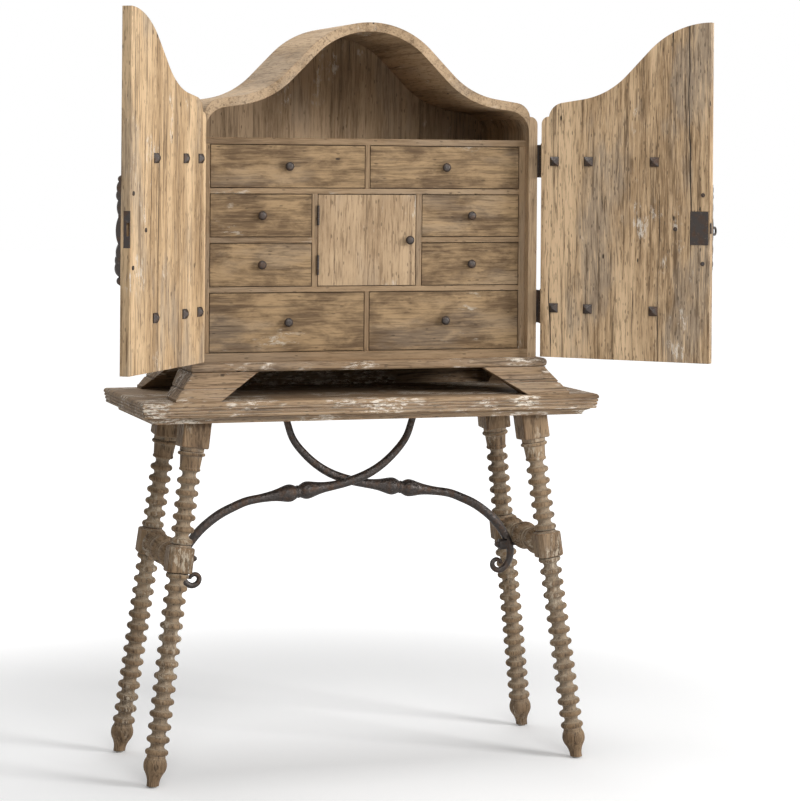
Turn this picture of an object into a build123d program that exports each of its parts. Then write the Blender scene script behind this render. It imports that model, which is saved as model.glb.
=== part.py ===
"""Arched two-door cabinet (vargueno) on a splayed stand with bobbin-turned legs and iron braces.

Millimetres and degrees. X runs along the width, the front faces -Y and Z is up. The pieces are
laid out from the cabinet's centre line (x = 0), the front edge of its case (y = 0) and the floor
(z = 0). Before export they all move together, so that the origin is on the floor under the middle
of the bounding box of the whole piece with its doors standing open.
"""
from build123d import *
import math
import os

# --- Stand: top slab -------------------------------------------------------------------------
STAND_HEIGHT = 803.6           # floor to the slab's upper face
STAND_WIDTH = 1024.0
STAND_DEPTH = 390.0
STAND_BEHIND_CASE = 14.0       # how far the slab passes the back of the case
STAND_ASIDE = 3.0              # stand's middle to the left of the cabinet's
SLAB_THICKNESS = 32.0
NOSE_THICKNESS = 10.4          # rounded upper member of the slab's edge
NOSE_RADIUS = 7.0
NOSE_BAND = 0.6                # upright band between the nose's two roundings
REED_COUNT = 3
REED_INSET = 1.4               # each reed stands back this much from the member above
REED_ROUNDING = 0.42           # fillet radius as a share of a reed's height
UNDER_MOULDING_HEIGHT = 14.6
UNDER_MOULDING_INSET = 15.0    # from the slab's edge to the moulding's upper edge
UNDER_MOULDING_BEVEL = 13.0
UNDER_MOULDING_WIDTH = 33.0
UNDER_MOULDING_STEPS = (0.2, 0.6, 0.85)   # heights of its fillet, hollow and brow as shares
UNDER_MOULDING_HOLLOW = 0.33   # how far the hollow stands out, as a share of the bevel

# --- Stand: legs -----------------------------------------------------------------------------
LEG_INSET_SIDE = 138.1         # slab's end to the leg's axis, at the slab's upper face
LEG_INSET_FRONT = 82.0         # same, from the slab's front and back edges
LEG_SPLAY_SIDE = 7.35
LEG_SPLAY_FRONT = 3.6
TOP_BLOCK = 59.0
TOP_BLOCK_HEIGHT = 70.0
MID_BLOCK = 54.0
MID_BLOCK_HEIGHT = 54.0
MID_BLOCK_LEVEL = 468.5        # stretcher axis above the floor
BLOCK_CHAMFER = 2.5
MID_BLOCK_CORNER = 8.5         # bevel of the stretcher block's upright corners
BOBBIN_PITCH = 26.0
BOBBIN_DIAMETER = 49.0
VALLEY_DIAMETER = 29.0
LIP_THICKNESS = 12.5           # rounded rim of a bobbin
LIP_ROOT_DIAMETER = 39.0       # where the rim meets the hollows beside it
BOBBIN_SEAT = 6.2              # from a block's face to the middle of the rim beside it
CUSHION_DIAMETER = 44.0
CUSHION_THICKNESS = 3.5
NECK_DIAMETER = 48.0
NECK_WAIST_DIAMETER = 43.0
NECK_HEIGHT = 29.0
NECK_RING_DIAMETER = 46.0
NECK_RING_HEIGHT = 6.0
COLLAR_DIAMETER = 59.0
COLLAR_HEIGHT = 7.0
COLLAR_GROOVE = 1.2
TOP_RING_DIAMETER = 52.0
TOP_RING_HEIGHT = 8.0
NECK_CONE_HEIGHT = 11.0
FIRST_RIM_RISE = 10.5          # lowest rim above the foot's neck
FOOT_NECK_DIAMETER = 40.0
FOOT_NECK_LEVEL = 62.0
FOOT_NECK_BAND = 1.0
FOOT_BULB_DIAMETER = 49.5
FOOT_BULB_LEVEL = 46.5
FOOT_TURN_DIAMETER = 39.4      # where the ankle's hollow meets the bulb
FOOT_TURN_LEVEL = 30.0
FOOT_HOLLOW_DIAMETER = 29.2
FOOT_HOLLOW_LEVEL = 19.0
ANKLE_DIAMETER = 26.0
ANKLE_LEVEL = 10.0
GLIDE_DIAMETER = 16.0
GLIDE_HEIGHT = 4.0

# --- Stand: side stretchers ------------------------------------------------------------------
TENON_DIAMETER = 20.0
TENON_LENGTH = 22.0
TENON_CLEARANCE = 0.3
STRETCHER_RING_DIAMETER = 46.0
STRETCHER_RING_WIDTH = 8.0
STRETCHER_BEAD_DIAMETER = 62.0
STRETCHER_BEAD_WIDTH = 44.0
STRETCHER_MIDDLE_WIDTH = 44.0  # middle bead, which takes the brace's bolt
STRETCHER_DISC_COUNT = 2       # on each side of the middle bead
STRETCHER_DISC_DIAMETER = 49.0
STRETCHER_DISC_RIM = 7.0
STRETCHER_VALLEY_DIAMETER = 29.0

# --- Stand: iron braces ----------------------------------------------------------------------
BRACE_DIAMETER = 20.0          # at the crossing
BRACE_SPACING = 20.6           # between the two braces' planes
BRACE_STATIONS = 5             # sections between two points of the middle line
BRACE_STANDOFF = 35.1          # stretcher's axis to the bar's middle at the bolt
BRACE_TOP_SPARE = 0.4          # bar cut away above the plate, as a share of its first stretch
# Middle line of a brace from the plate to the bolt, as shares of the bolt's distance from the
# centre line, of the rise from the bolt to the plate and of the bar's diameter.
BRACE_LINE = [
    (0.398, 1.0, 0.75), (0.368, 0.898, 0.775), (0.34, 0.8, 0.8), (0.28, 0.7, 0.85),
    (0.198, 0.609, 0.9), (0.11, 0.543, 0.975), (0.0, 0.493, 1.0), (-0.084, 0.468, 0.975),
    (-0.183, 0.451, 0.9), (-0.314, 0.43, 0.83), (-0.45, 0.409, 0.875), (-0.55, 0.391, 0.925),
    (-0.628, 0.3735, 0.95), (-0.7016, 0.339, 0.975), (-0.759, 0.3076, 1.0), (-0.83, 0.254, 1.0),
    (-0.903, 0.179, 1.0), (-0.958, 0.097, 0.95), (-1.0, 0.0, 0.9)]
SCROLL_DROP = 58.2             # bolt to the scroll's lowest point
# Scroll past the bolt, as shares of its drop sideways and upwards and of the bar's diameter.
SCROLL_LINE = [
    (-0.06, -0.326, 0.825), (0.12, -0.825, 0.7), (0.421, -1.0, 0.625), (0.629, -0.902, 0.6),
    (0.679, -0.713, 0.55), (0.55, -0.584, 0.5), (0.387, -0.627, 0.45), (0.318, -0.747, 0.4)]
KNOP_SHARE = 0.4585            # the double knop's ring, along the middle line from its top
KNOP_DIAMETER = 38.5
KNOP_SPREAD = 20.0             # from the ring to each knop's widest place
KNOP_REACH = 90.0              # from the ring to the end of each knop's taper
KNOP_FADE = 2.5                # how fast the taper thins; higher is faster
KNOP_STATIONS = 16             # sections between two points of the middle line, near the knop
KNOP_NECK_DIAMETER = 26.0
KNOP_NECK_HALF = 3.0
KNOP_RING_DIAMETER = 28.5
BRACE_BOLT_DROP = 19.5         # bolt below the stretcher's axis
BRACE_BOLT_SHANK = 8.0
BRACE_BOLT_HOLE = 8.6
BRACE_BOLT_DEPTH = 14.0        # past the stretcher's axis
BRACE_SEAT_OFFSET = 7.0        # flat on the bar for the bolt's boss, from the bar's middle
BOSS_DIAMETER = 24.0
BOSS_LENGTH = 19.0
BOSS_BEVEL = 2.0
BOLT_HEAD_DIAMETER = 13.0
BOLT_HEAD_HEIGHT = 8.0
BRACE_PLATE_THICKNESS = 4.0
BRACE_PLATE_LENGTH = 74.0
BRACE_PLATE_WIDTH = 30.0
PLATE_SCREW_SPACING = 54.0
PLATE_SCREW_SHANK = 4.0
PLATE_SCREW_HEAD = 9.0
PLATE_SCREW_HEAD_HEIGHT = 2.4
PLATE_SCREW_DEPTH = 18.0
CUT_SPARE = 1.0                # how far a hole or cut is drawn past a face
SCREW_CLEARANCE = 0.2          # round each screw shank in its hole

# --- Cabinet: base ---------------------------------------------------------------------------
FOOT_HEIGHT = 58.4
FOOT_FLARE_SIDE = 43.0
FOOT_FLARE_FRONT = 34.0
FOOT_STEP = 2.2                # foot's upper edge inside the moulding's nose
FOOT_WALL = 24.0
FOOT_FILLET_HEIGHT = 6.8       # upright band along the foot's lower edge
FOOT_GROOVE_DROP = 33.0        # from the foot's top to its groove
FOOT_GROOVE_WIDTH = 3.4
FOOT_GROOVE_DEPTH = 2.6
FOOT_TOP_BAND = 3.0
FOOT_BROW_SHARE = 0.94         # reach of the sloping face's lower edge as a share of the flare
FRONT_FOOT_TOP_X = 254.0       # inner end of a front foot at its top and at its base
FRONT_FOOT_BASE_X = 346.0
SIDE_FOOT_TOP = 130.0          # length of a foot along the side at its top
SIDE_FOOT_BASE = 78.0
BACK_FOOT_BASE = 39.0
BASE_MOULDING_HEIGHT = 19.0
BASE_NOSE_SIDE = 14.5          # nose of the moulding beyond the case side
BASE_NOSE_FRONT = 29.0         # nose in front of the case
BASE_NOSE_RADIUS = 8.0
BASE_MOULDING_INNER = 40.0     # frame width inside the case side
BASE_BACK_RAIL = 60.0

# --- Cabinet: case ---------------------------------------------------------------------------
CASE_WIDTH = 774.0
CASE_DEPTH = 305.0
CASE_SIDE = 20.0
CASE_SIDE_HEIGHT = 524.0
CASE_BOTTOM = 18.0
CASE_CORNER_RADIUS = 17.0      # rounded upper corner of the side boards
SIDE_TOP_RISE = 5.5            # side boards and hinge stiles above the eaves, beside the roof
BACK_PANEL = 10.0
ROOF_THICKNESS = 20.0
ROOF_STEP = 17.5               # roof's edge inside the case side's outer face
CROWN_RADIUS = 192.4
HAUNCH_ANGLE = 45.6
HAUNCH_LENGTH = 74.2
HOLLOW_RADIUS = 178.0
EAVES_SLOPE = 8.5
SHOULDER_RADIUS = 36.0
INNER_SHOULDER_RADIUS = 48.0

# --- Cabinet: drawer unit --------------------------------------------------------------------
UNIT_SETBACK = 19.7            # unit's front behind the case's front edge
UNIT_SIDE = 15.0
UNIT_TOP = 14.0
SHELF = 11.6
UPRIGHT = 12.2
DIVIDER = 9.9
TOP_ROW = 94.0                 # clear height of each row
UPPER_ROW = 93.5
LOWER_ROW = 94.6
BOTTOM_ROW = 128.6
CUPBOARD_WIDTH = 224.8         # between the uprights
DRAWER_GAP = 1.5
DRAWER_FRONT = 16.0
DRAWER_SIDE = 9.0
DRAWER_BOTTOM = 5.0
DRAWER_BOTTOM_LIFT = 5.0
DRAWER_BACK_GAP = 13.3         # from a closed drawer to the back panel
DRAWER_SIDE_DROP = 4.0         # side boards lower than the front
KNOB_DIAMETER = 19.5
KNOB_PROJECTION = 16.0
KNOB_BASE_DIAMETER = 12.0
KNOB_BASE_HEIGHT = 1.8
KNOB_NECK_DIAMETER = 7.5
KNOB_HEAD_HEIGHT = 9.4
KNOB_HEAD_BELLY = (0.86, 0.18)     # head below its rim, as shares of its radius and height
KNOB_RIM_LEVEL = 0.42
KNOB_HEAD_CROWN = (0.72, 0.86)     # head above its rim
KNOB_TIP_SHARE = 0.2
KNOB_SPIGOT_DIAMETER = 6.0
KNOB_SPIGOT_LENGTH = 10.0
KNOB_HOLE_CLEARANCE = 0.2

# --- Cabinet: inner door ---------------------------------------------------------------------
INNER_DOOR_THICKNESS = 16.0
INNER_KNOB_INSET = 16.0        # from the door's free edge
SMALL_HINGE_HEIGHT = 42.0
SMALL_HINGE_INSET = 45.0       # hinge middle from the door's upper and lower edges
SMALL_BARREL_RADIUS = 2.5
SMALL_PIN_RADIUS = 1.2
SMALL_LEAF = 1.5
SMALL_LEAF_DEPTH = 12.0
SMALL_HINGE_PROUD = 3.0        # barrel axis in front of the door's face

# --- Cabinet: outer doors --------------------------------------------------------------------
DOOR_THICKNESS = 19.7
DOOR_CASE_CLEARANCE = 0.5      # between a closed door and the case
DOOR_BOTTOM_CLEARANCE = 4.0    # above the base moulding
DOOR_MEETING_GAP = 1.8
DOOR_EDGE_INSET = 0.8          # hinge stile's edge inside the case side's face
LEFT_DOOR_OPEN = 126.7         # how far each door stands open
RIGHT_DOOR_OPEN = 136.1
HINGE_AXIS_OUT = 4.3           # hinge axis beyond the case side's face
HINGE_AXIS_PROUD = 2.7         # hinge axis in front of the door's outer face
HINGE_UPPER_LEVEL = 432.0      # hinge middles above the case's lower edge
HINGE_LOWER_LEVEL = 112.0
BARREL_HEIGHT = 72.0
BARREL_RADIUS = 6.5
HINGE_PIN_RADIUS = 3.2
PIN_CLEARANCE = 0.06
KNUCKLE_GAP = 0.4
BARREL_CLEARANCE = 0.6         # round the barrel in the door's edge and in the leaves
LEAF_THICKNESS = 3.0
LEAF_LENGTH = 44.0             # case hinge leaf back along the side board
LEAF_CORNER = 4.0              # cut corners at the leaf's back edge
LEAF_NAILS = ((14.0, 22.0), (14.0, -22.0), (33.0, 0.0))   # from the case's front and hinge middle
LEAF_NAIL_RADIUS = 5.0
LEAF_NAIL_PROUD = 2.2
PIN_CAP_HEIGHT = 3.0
PIN_CAP_RADIUS = 5.2
STRAP_THICKNESS = 3.0
STRAP_START = 9.0              # strap plate begins this far from the hinge axis
STRAP_ROOT_HEIGHT = 60.0
STRAP_ROOT_LENGTH = 40.0
STRAP_WAIST_HEIGHT = 24.0
STRAP_LENGTH = 262.0
STRAP_TIP_RADIUS = 20.0
STRAP_POINT_LENGTH = 32.0
STRAP_END_SHARE = 0.8          # strap's height at its round end as a share of its waist
STRAP_POINT_SHARE = 0.7        # where the point leaves the round end, as a share of its radius
ROOT_BOLT = 36.4               # strap bolts from the hinge axis
MIDDLE_BOLT = 115.4
TIP_BOLT = 265.9
BOLT_SHANK = 8.0
BOLT_CLEARANCE = 0.25
BOLT_DOME_RADIUS = 8.5
BOLT_DOME_HEIGHT = 4.0
DOME_FLAT = 0.2                # hammered flat on a dome as a share of its radius
DOME_SHOULDER = (0.74, 0.7)    # dome's shoulder as shares of its radius and height
NUT_SIZE = 20.0
NUT_EDGE_HEIGHT = 2.5
NUT_HEIGHT = 9.5
NUT_TIP = 4.0

# --- Escutcheons and lock --------------------------------------------------------------------
ESCUTCHEON_LEVEL = 289.0       # middle above the case's lower edge
ESCUTCHEON_HEIGHT = 216.0
ESCUTCHEON_PLATE = 6.0
ESCUTCHEON_MARGIN = 1.0        # from the door's free edge
BOSS_RIM = 0.86                # raised boss on a lobe, as shares of the lobe's radius
BOSS_CROWN = (0.6, 0.8)
BOSS_TOP = 0.1
# Plate lobes as shares of the plate's height: distance from the free edge, height from the middle,
# radius and relief.
ESCUTCHEON_LOBES = [
    (0.111, 0.0, 0.185, 0.028), (0.102, 0.213, 0.125, 0.032), (0.111, -0.204, 0.139, 0.042),
    (0.065, 0.389, 0.079, 0.03), (0.083, -0.343, 0.097, 0.052), (0.046, 0.468, 0.032, 0.02),
    (0.056, -0.458, 0.042, 0.03), (0.287, 0.102, 0.069, 0.028), (0.306, 0.0, 0.074, 0.034),
    (0.278, -0.102, 0.069, 0.038), (0.213, 0.278, 0.051, 0.028), (0.222, -0.287, 0.056, 0.038),
    (0.06, 0.32, 0.07, 0.036), (0.07, -0.27, 0.075, 0.05)]
# Nails as shares of the plate's height, from the free edge and from the middle.
NAIL_SPOTS = [(0.069, 0.338), (0.352, 0.0), (0.069, -0.338)]
NAIL_SHANK = 4.0
NAIL_HEAD_RADIUS = 5.0
NAIL_HEAD_HEIGHT = 3.0
NAIL_ROVE_RADIUS = 4.5         # round rove under the clenched tip on the inner face
NAIL_ROVE_HEIGHT = 1.6
NAIL_TIP_HEIGHT = 0.9          # tip above its rove
NAIL_CLEARANCE = 0.2
LOCK_INSET = 3.0               # wood left between the lock and the free edge
LOCK_WIDTH = 40.0
LOCK_HEIGHT = 71.0
LOCK_LEVEL = 291.5             # lock middle above the case's lower edge
LOCK_DEPTH = 13.0
LOCK_WALL = 1.6
LOCK_PROUD = 0.8
LOCK_FIT = 0.2                 # round the lock in its pocket
LATCH_HEIGHT = 22.0
LATCH_THICKNESS = 5.0
LATCH_DEPTH = 4.4              # latch's middle from the door's inner face
LATCH_PROUD = 3.0              # beyond the free edge as it stands
LATCH_HEAD_LENGTH = 11.5
LATCH_TAIL_LENGTH = 20.0
LATCH_TAIL_HEIGHT = 8.0
LATCH_FIT = 0.3
LATCH_BACK = 4.0               # travel back from where it stands
LATCH_THROW = 6.0              # travel out from where it stands
KEY_INSET = 18.0               # key axis from the free edge
KEY_DROP = 7.5                 # key axis below the lock's middle
KEY_SHANK_RADIUS = 2.5
KEY_FIT = 0.3
KEY_LENGTH = 80.0              # beyond the door's outer face
KEY_BOW_HEIGHT = 20.0
KEY_BOW_LENGTH = 28.0
KEY_BOW_THICKNESS = 3.5
KEY_BOW_BAND = 4.0
KEY_COLLAR_RADIUS = 4.0
KEY_COLLAR_LENGTH = 4.0
KEY_BIT_DROP = 6.5
KEY_BIT_THICKNESS = 2.0
KEY_BIT_LENGTH = 5.0
KEY_TIP_GAP = 1.0              # from the key's tip to the lock's inner plate
STRIKE_HEIGHT = 73.0
STRIKE_WIDTH = 13.8
STRIKE_THICKNESS = 1.5
STRIKE_SLOT_HEIGHT = 26.0
STRIKE_SLOT_WIDTH = 6.4
STRIKE_POCKET_DEPTH = 13.0

# --- Levels and places worked out from the sizes above ----------------------------------------
SLAB_UNDERSIDE = STAND_HEIGHT - SLAB_THICKNESS
STAND_BACK = CASE_DEPTH + STAND_BEHIND_CASE
STAND_MIDDLE = STAND_BACK - STAND_DEPTH / 2
STAND_FRONT = STAND_BACK - STAND_DEPTH
LEG_TOP_X = STAND_WIDTH / 2 - LEG_INSET_SIDE
LEG_TOP_Y = STAND_DEPTH / 2 - LEG_INSET_FRONT
BRACE_BOLT_LEVEL = MID_BLOCK_LEVEL - BRACE_BOLT_DROP
PLATE_BASE = SLAB_UNDERSIDE - BRACE_PLATE_THICKNESS
FOOT_TOP = STAND_HEIGHT + FOOT_HEIGHT
CASE_BASE = FOOT_TOP + BASE_MOULDING_HEIGHT
EAVES = CASE_BASE + CASE_SIDE_HEIGHT
HALF_CASE = CASE_WIDTH / 2
HALF_INNER = HALF_CASE - CASE_SIDE
ROOF_HALF = HALF_CASE - ROOF_STEP
BACK_FACE = CASE_DEPTH - BACK_PANEL
DRAWER_DEPTH = BACK_FACE - UNIT_SETBACK - DRAWER_BACK_GAP
ROW_BASE = CASE_BASE + CASE_BOTTOM
LOWER_SHELF = ROW_BASE + BOTTOM_ROW
LOWER_ROW_BASE = LOWER_SHELF + SHELF
SHORT_SHELF = LOWER_ROW_BASE + LOWER_ROW
UPPER_ROW_BASE = SHORT_SHELF + SHELF
UPPER_SHELF = UPPER_ROW_BASE + UPPER_ROW
TOP_ROW_BASE = UPPER_SHELF + SHELF
UNIT_TOP_BASE = TOP_ROW_BASE + TOP_ROW
UNIT_INNER = HALF_INNER - UNIT_SIDE
CUPBOARD_HALF = CUPBOARD_WIDTH / 2
DOOR_BASE = CASE_BASE + DOOR_BOTTOM_CLEARANCE
DOOR_INNER_FACE = -DOOR_CASE_CLEARANCE
DOOR_OUTER_FACE = DOOR_INNER_FACE - DOOR_THICKNESS
FREE_EDGE = DOOR_MEETING_GAP / 2
DOOR_EDGE = HALF_CASE - DOOR_EDGE_INSET
HINGE_X = HALF_CASE + HINGE_AXIS_OUT
HINGE_Y = DOOR_OUTER_FACE - HINGE_AXIS_PROUD
HINGE_LEVELS = (CASE_BASE + HINGE_UPPER_LEVEL, CASE_BASE + HINGE_LOWER_LEVEL)
KNUCKLE = BARREL_HEIGHT / 3
STRAP_BOLTS = (ROOT_BOLT, MIDDLE_BOLT, TIP_BOLT)
INNER_DOOR_BASE = LOWER_ROW_BASE + DRAWER_GAP
INNER_DOOR_TOP = UPPER_SHELF - DRAWER_GAP
INNER_DOOR_HALF = CUPBOARD_HALF - DRAWER_GAP
SMALL_AXIS_X = -(CUPBOARD_HALF + INNER_DOOR_HALF) / 2
SMALL_AXIS_Y = UNIT_SETBACK - SMALL_HINGE_PROUD
SMALL_LEVELS = (INNER_DOOR_TOP - SMALL_HINGE_INSET, INNER_DOOR_BASE + SMALL_HINGE_INSET)
LOCK_MIDDLE = CASE_BASE + LOCK_LEVEL
KEY_LEVEL = LOCK_MIDDLE - KEY_DROP
LATCH_Y = DOOR_INNER_FACE - LATCH_DEPTH
FAR = STAND_WIDTH              # long enough to pass any piece
TINY = 0.001                   # points closer than this are one point


# --- Helpers ---------------------------------------------------------------------------------
def block(x0, x1, y0, y1, z0, z1):
    """Box between two corners."""
    return Pos((x0 + x1) / 2, (y0 + y1) / 2, (z0 + z1) / 2) * Box(x1 - x0, y1 - y0, z1 - z0)


def bar(start, end, radius):
    """Round bar between two points."""
    along = Vector(*end) - Vector(*start)
    return Solid.make_cylinder(radius, along.length, Plane(origin=start, z_dir=along))


def outline_face(points, plane_y=0.0):
    """Face in the XZ plane; a point given as (xm, zm, x, z) is reached by an arc through (xm, zm)."""
    edges = []
    here = points[0]
    for point in points[1:] + [points[0][-2:]]:
        start = (here[-2], plane_y, here[-1])
        end = (point[-2], plane_y, point[-1])
        if len(point) == 4:
            edges.append(ThreePointArc(start, (point[0], plane_y, point[1]), end))
        elif math.dist(start, end) > TINY:
            edges.append(Line(start, end))
        here = point
    return Face(Wire(edges))


def slab_xz(points, y0, y1):
    """Board with an XZ outline between two Y planes."""
    face = outline_face(points, y0)
    return extrude(face, amount=y1 - y0, dir=(0, 1, 0))


def slab_yz(points, x0, x1):
    """Board with an outline of (y, z) points between two X planes."""
    face = Face(Wire([Line((x0, *a), (x0, *b)) for a, b in zip(points, points[1:] + points[:1])]))
    return extrude(face, amount=x1 - x0, dir=(1, 0, 0))


def slab_xy(points, z0, z1):
    """Board with an outline of (x, y) points between two Z planes."""
    face = Face(Wire([Line((*a, z0), (*b, z0)) for a, b in zip(points, points[1:] + points[:1])]))
    return extrude(face, amount=z1 - z0, dir=(0, 0, 1))


def turned(profile):
    """Solid turned about Z from (radius, height) points, closed along the axis."""
    closed = [(0.0, profile[0][-1])] + profile + [(0.0, profile[-1][-1])]
    return revolve(outline_face(closed), Axis.Z)


def mirrored(shape):
    """The same piece on the other side of the centre line."""
    return mirror(shape, Plane.YZ)


def on_side(shape, side):
    """A piece drawn for the right (+1), or its mirror image on the left (-1)."""
    return shape if side > 0 else mirrored(shape)


def dome(radius, height):
    """Profile of a hammered dome, from its flat top to its rim at height zero."""
    across, up = DOME_SHOULDER
    return [(radius * DOME_FLAT, -height), (radius * across, -height * up, radius, 0.0)]


def group(pieces):
    """Several separate solids kept in one node."""
    return Compound([solid for piece in pieces for solid in piece.solids()])


def polar(centre, radius, angle):
    """Point on a circle, the angle measured from the vertical towards +X."""
    turn = math.radians(angle)
    return (centre[0] + radius * math.sin(turn), centre[1] + radius * math.cos(turn))


# --- Stand -----------------------------------------------------------------------------------
def rounded_slab(inset, z0, z1, upper, lower):
    """One member of the slab's edge, its upper and lower arrises rounded."""
    member = block(-STAND_WIDTH / 2 + inset, STAND_WIDTH / 2 - inset, STAND_FRONT + inset,
                   STAND_BACK - inset, z0, z1)
    member = fillet(member.faces().sort_by(Axis.Z)[-1].edges(), upper)
    return fillet(member.faces().sort_by(Axis.Z)[0].edges(), lower)


def stand_top():
    reed = (SLAB_THICKNESS - NOSE_THICKNESS) / REED_COUNT
    rounding = reed * REED_ROUNDING
    level = STAND_HEIGHT - NOSE_THICKNESS
    top = rounded_slab(0.0, level, STAND_HEIGHT, NOSE_RADIUS, NOSE_THICKNESS - NOSE_RADIUS - NOSE_BAND)
    for index in range(REED_COUNT):
        top += rounded_slab(REED_INSET * (index + 1), level - reed, level, rounding, rounding)
        level -= reed
    for side in (-1, 1):
        for spot in plate_screw_spots(side):
            top -= bar((*spot, SLAB_UNDERSIDE - CUT_SPARE),
                       (*spot, SLAB_UNDERSIDE + PLATE_SCREW_DEPTH),
                       PLATE_SCREW_SHANK / 2 + SCREW_CLEARANCE)
    return top


def mitred_frame(x0, x1, y0, y1, width, profile):
    """Four mitred lengths round a rectangle; profile holds (outset, z) points of the outer face."""
    outset = max(point[0] for point in profile)
    low = profile[0][1]
    high = profile[-1][1]
    side_outline = [(x0 - out, z) for out, z in profile] + [(x1 + out, z) for out, z in profile[::-1]]
    depth_outline = [(y0 - out, z) for out, z in profile] + [(y1 + out, z) for out, z in profile[::-1]]
    whole = slab_xz(side_outline, y0 - outset, y1 + outset)
    whole &= slab_yz(depth_outline, x0 - outset, x1 + outset)
    whole -= block(x0 + width, x1 - width, y0 + width, y1 - width, low, high)
    reach = outset + width
    left, right, front, back = x0 - outset, x1 + outset, y0 - outset, y1 + outset
    corners = {
        "front": [(left, front), (right, front), (right - reach, front + reach),
                  (left + reach, front + reach)],
        "back": [(left, back), (left + reach, back - reach), (right - reach, back - reach),
                 (right, back)],
        "left": [(left, front), (left + reach, front + reach), (left + reach, back - reach),
                 (left, back)],
        "right": [(right, front), (right, back), (right - reach, back - reach),
                  (right - reach, front + reach)]}
    return [whole & slab_xy(outline, low, high) for outline in corners.values()]


def stand_moulding():
    low = SLAB_UNDERSIDE - UNDER_MOULDING_HEIGHT
    edge = UNDER_MOULDING_INSET + UNDER_MOULDING_BEVEL
    hollow = UNDER_MOULDING_BEVEL * UNDER_MOULDING_HOLLOW
    step, knee, brow = [low + UNDER_MOULDING_HEIGHT * share for share in UNDER_MOULDING_STEPS]
    profile = [(0.0, low), (0.0, step), (hollow, knee), (UNDER_MOULDING_BEVEL, brow),
               (UNDER_MOULDING_BEVEL, SLAB_UNDERSIDE)]
    return group(mitred_frame(-STAND_WIDTH / 2 + edge, STAND_WIDTH / 2 - edge, STAND_FRONT + edge,
                              STAND_BACK - edge, UNDER_MOULDING_WIDTH - UNDER_MOULDING_BEVEL,
                              profile))


def leg_axis(side, end, level):
    """Point of a leg's axis; side is -1 or 1 in X and end is -1 (front) or 1 (back)."""
    drop = STAND_HEIGHT - level
    return Vector(side * (LEG_TOP_X + drop * math.tan(math.radians(LEG_SPLAY_SIDE))),
                  STAND_MIDDLE + end * (LEG_TOP_Y + drop * math.tan(math.radians(LEG_SPLAY_FRONT))),
                  level)


def leg_plane(side, end, level):
    """Plane square to the leg's axis, its X kept along the stand."""
    along = leg_axis(side, end, STAND_HEIGHT) - leg_axis(side, end, 0.0)
    return Plane(origin=leg_axis(side, end, level), x_dir=Vector(0, 1, 0).cross(along), z_dir=along)


def leg_stretch():
    """Length along a leg for each unit of height."""
    return (leg_axis(1, 1, 0.0) - leg_axis(1, 1, 1.0)).length


def bobbins(first, last):
    """Profile from below the first rim to above the last one, at an even pitch."""
    count = round((last - first) / BOBBIN_PITCH) + 1
    pitch = (last - first) / (count - 1)
    profile = []
    for index in range(count):
        rim = first + index * pitch
        root = (LIP_ROOT_DIAMETER / 2, rim - LIP_THICKNESS / 2)
        profile.append(root if index == 0 else (VALLEY_DIAMETER / 2, rim - pitch / 2, *root))
        profile.append((BOBBIN_DIAMETER / 2, rim, LIP_ROOT_DIAMETER / 2, rim + LIP_THICKNESS / 2))
    return profile


def leg_lower_profile(block_base):
    first = FOOT_NECK_LEVEL + FIRST_RIM_RISE
    foot = [(ANKLE_DIAMETER / 2, 0.0), (ANKLE_DIAMETER / 2, ANKLE_LEVEL),
            (FOOT_HOLLOW_DIAMETER / 2, FOOT_HOLLOW_LEVEL, FOOT_TURN_DIAMETER / 2, FOOT_TURN_LEVEL),
            (FOOT_BULB_DIAMETER / 2, FOOT_BULB_LEVEL, FOOT_NECK_DIAMETER / 2,
             FOOT_NECK_LEVEL - FOOT_NECK_BAND),
            (FOOT_NECK_DIAMETER / 2, FOOT_NECK_LEVEL + FOOT_NECK_BAND)]
    return foot + bobbins(first, block_base - BOBBIN_SEAT) + [(LIP_ROOT_DIAMETER / 2, block_base)]


def leg_upper_profile(block_top, top_block_base):
    ring_base = top_block_base - TOP_RING_HEIGHT
    collar_top = ring_base - COLLAR_GROOVE
    neck_top = collar_top - COLLAR_HEIGHT
    neck_base = neck_top - NECK_HEIGHT
    cone_base = neck_base - NECK_CONE_HEIGHT
    last = cone_base - BOBBIN_PITCH / 2
    cushion_top = block_top + CUSHION_THICKNESS
    return [(CUSHION_DIAMETER / 2, block_top), (CUSHION_DIAMETER / 2, cushion_top),
            (LIP_ROOT_DIAMETER / 2, cushion_top),
            *bobbins(cushion_top + LIP_THICKNESS / 2 + COLLAR_GROOVE, last),
            (VALLEY_DIAMETER / 2, cone_base, NECK_WAIST_DIAMETER / 2,
             neck_base - NECK_RING_HEIGHT / 2),
            (NECK_RING_DIAMETER / 2, neck_base, NECK_WAIST_DIAMETER / 2,
             neck_base + NECK_RING_HEIGHT / 2),
            (NECK_DIAMETER / 2, neck_top),
            (COLLAR_DIAMETER / 2, neck_top + COLLAR_HEIGHT / 2, NECK_DIAMETER / 2, collar_top),
            (NECK_DIAMETER / 2, ring_base),
            (TOP_RING_DIAMETER / 2, ring_base), (TOP_RING_DIAMETER / 2, top_block_base)]


def scaled(profile, stretch):
    """The same profile with its heights measured along the leg's axis."""
    return [tuple(value * stretch if place % 2 else value for place, value in enumerate(point))
            for point in profile]


def square_block(size, low, high, corner):
    """Square block of a leg in the leg's own frame, its upright corners and its ends bevelled."""
    solid = Pos(0, 0, (low + high) / 2) * Box(size, size, high - low)
    solid = chamfer(solid.edges().filter_by(Axis.Z), corner)
    ends = solid.faces().sort_by(Axis.Z)
    return chamfer(ends[0].edges() + ends[-1].edges(), BLOCK_CHAMFER)


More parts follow.
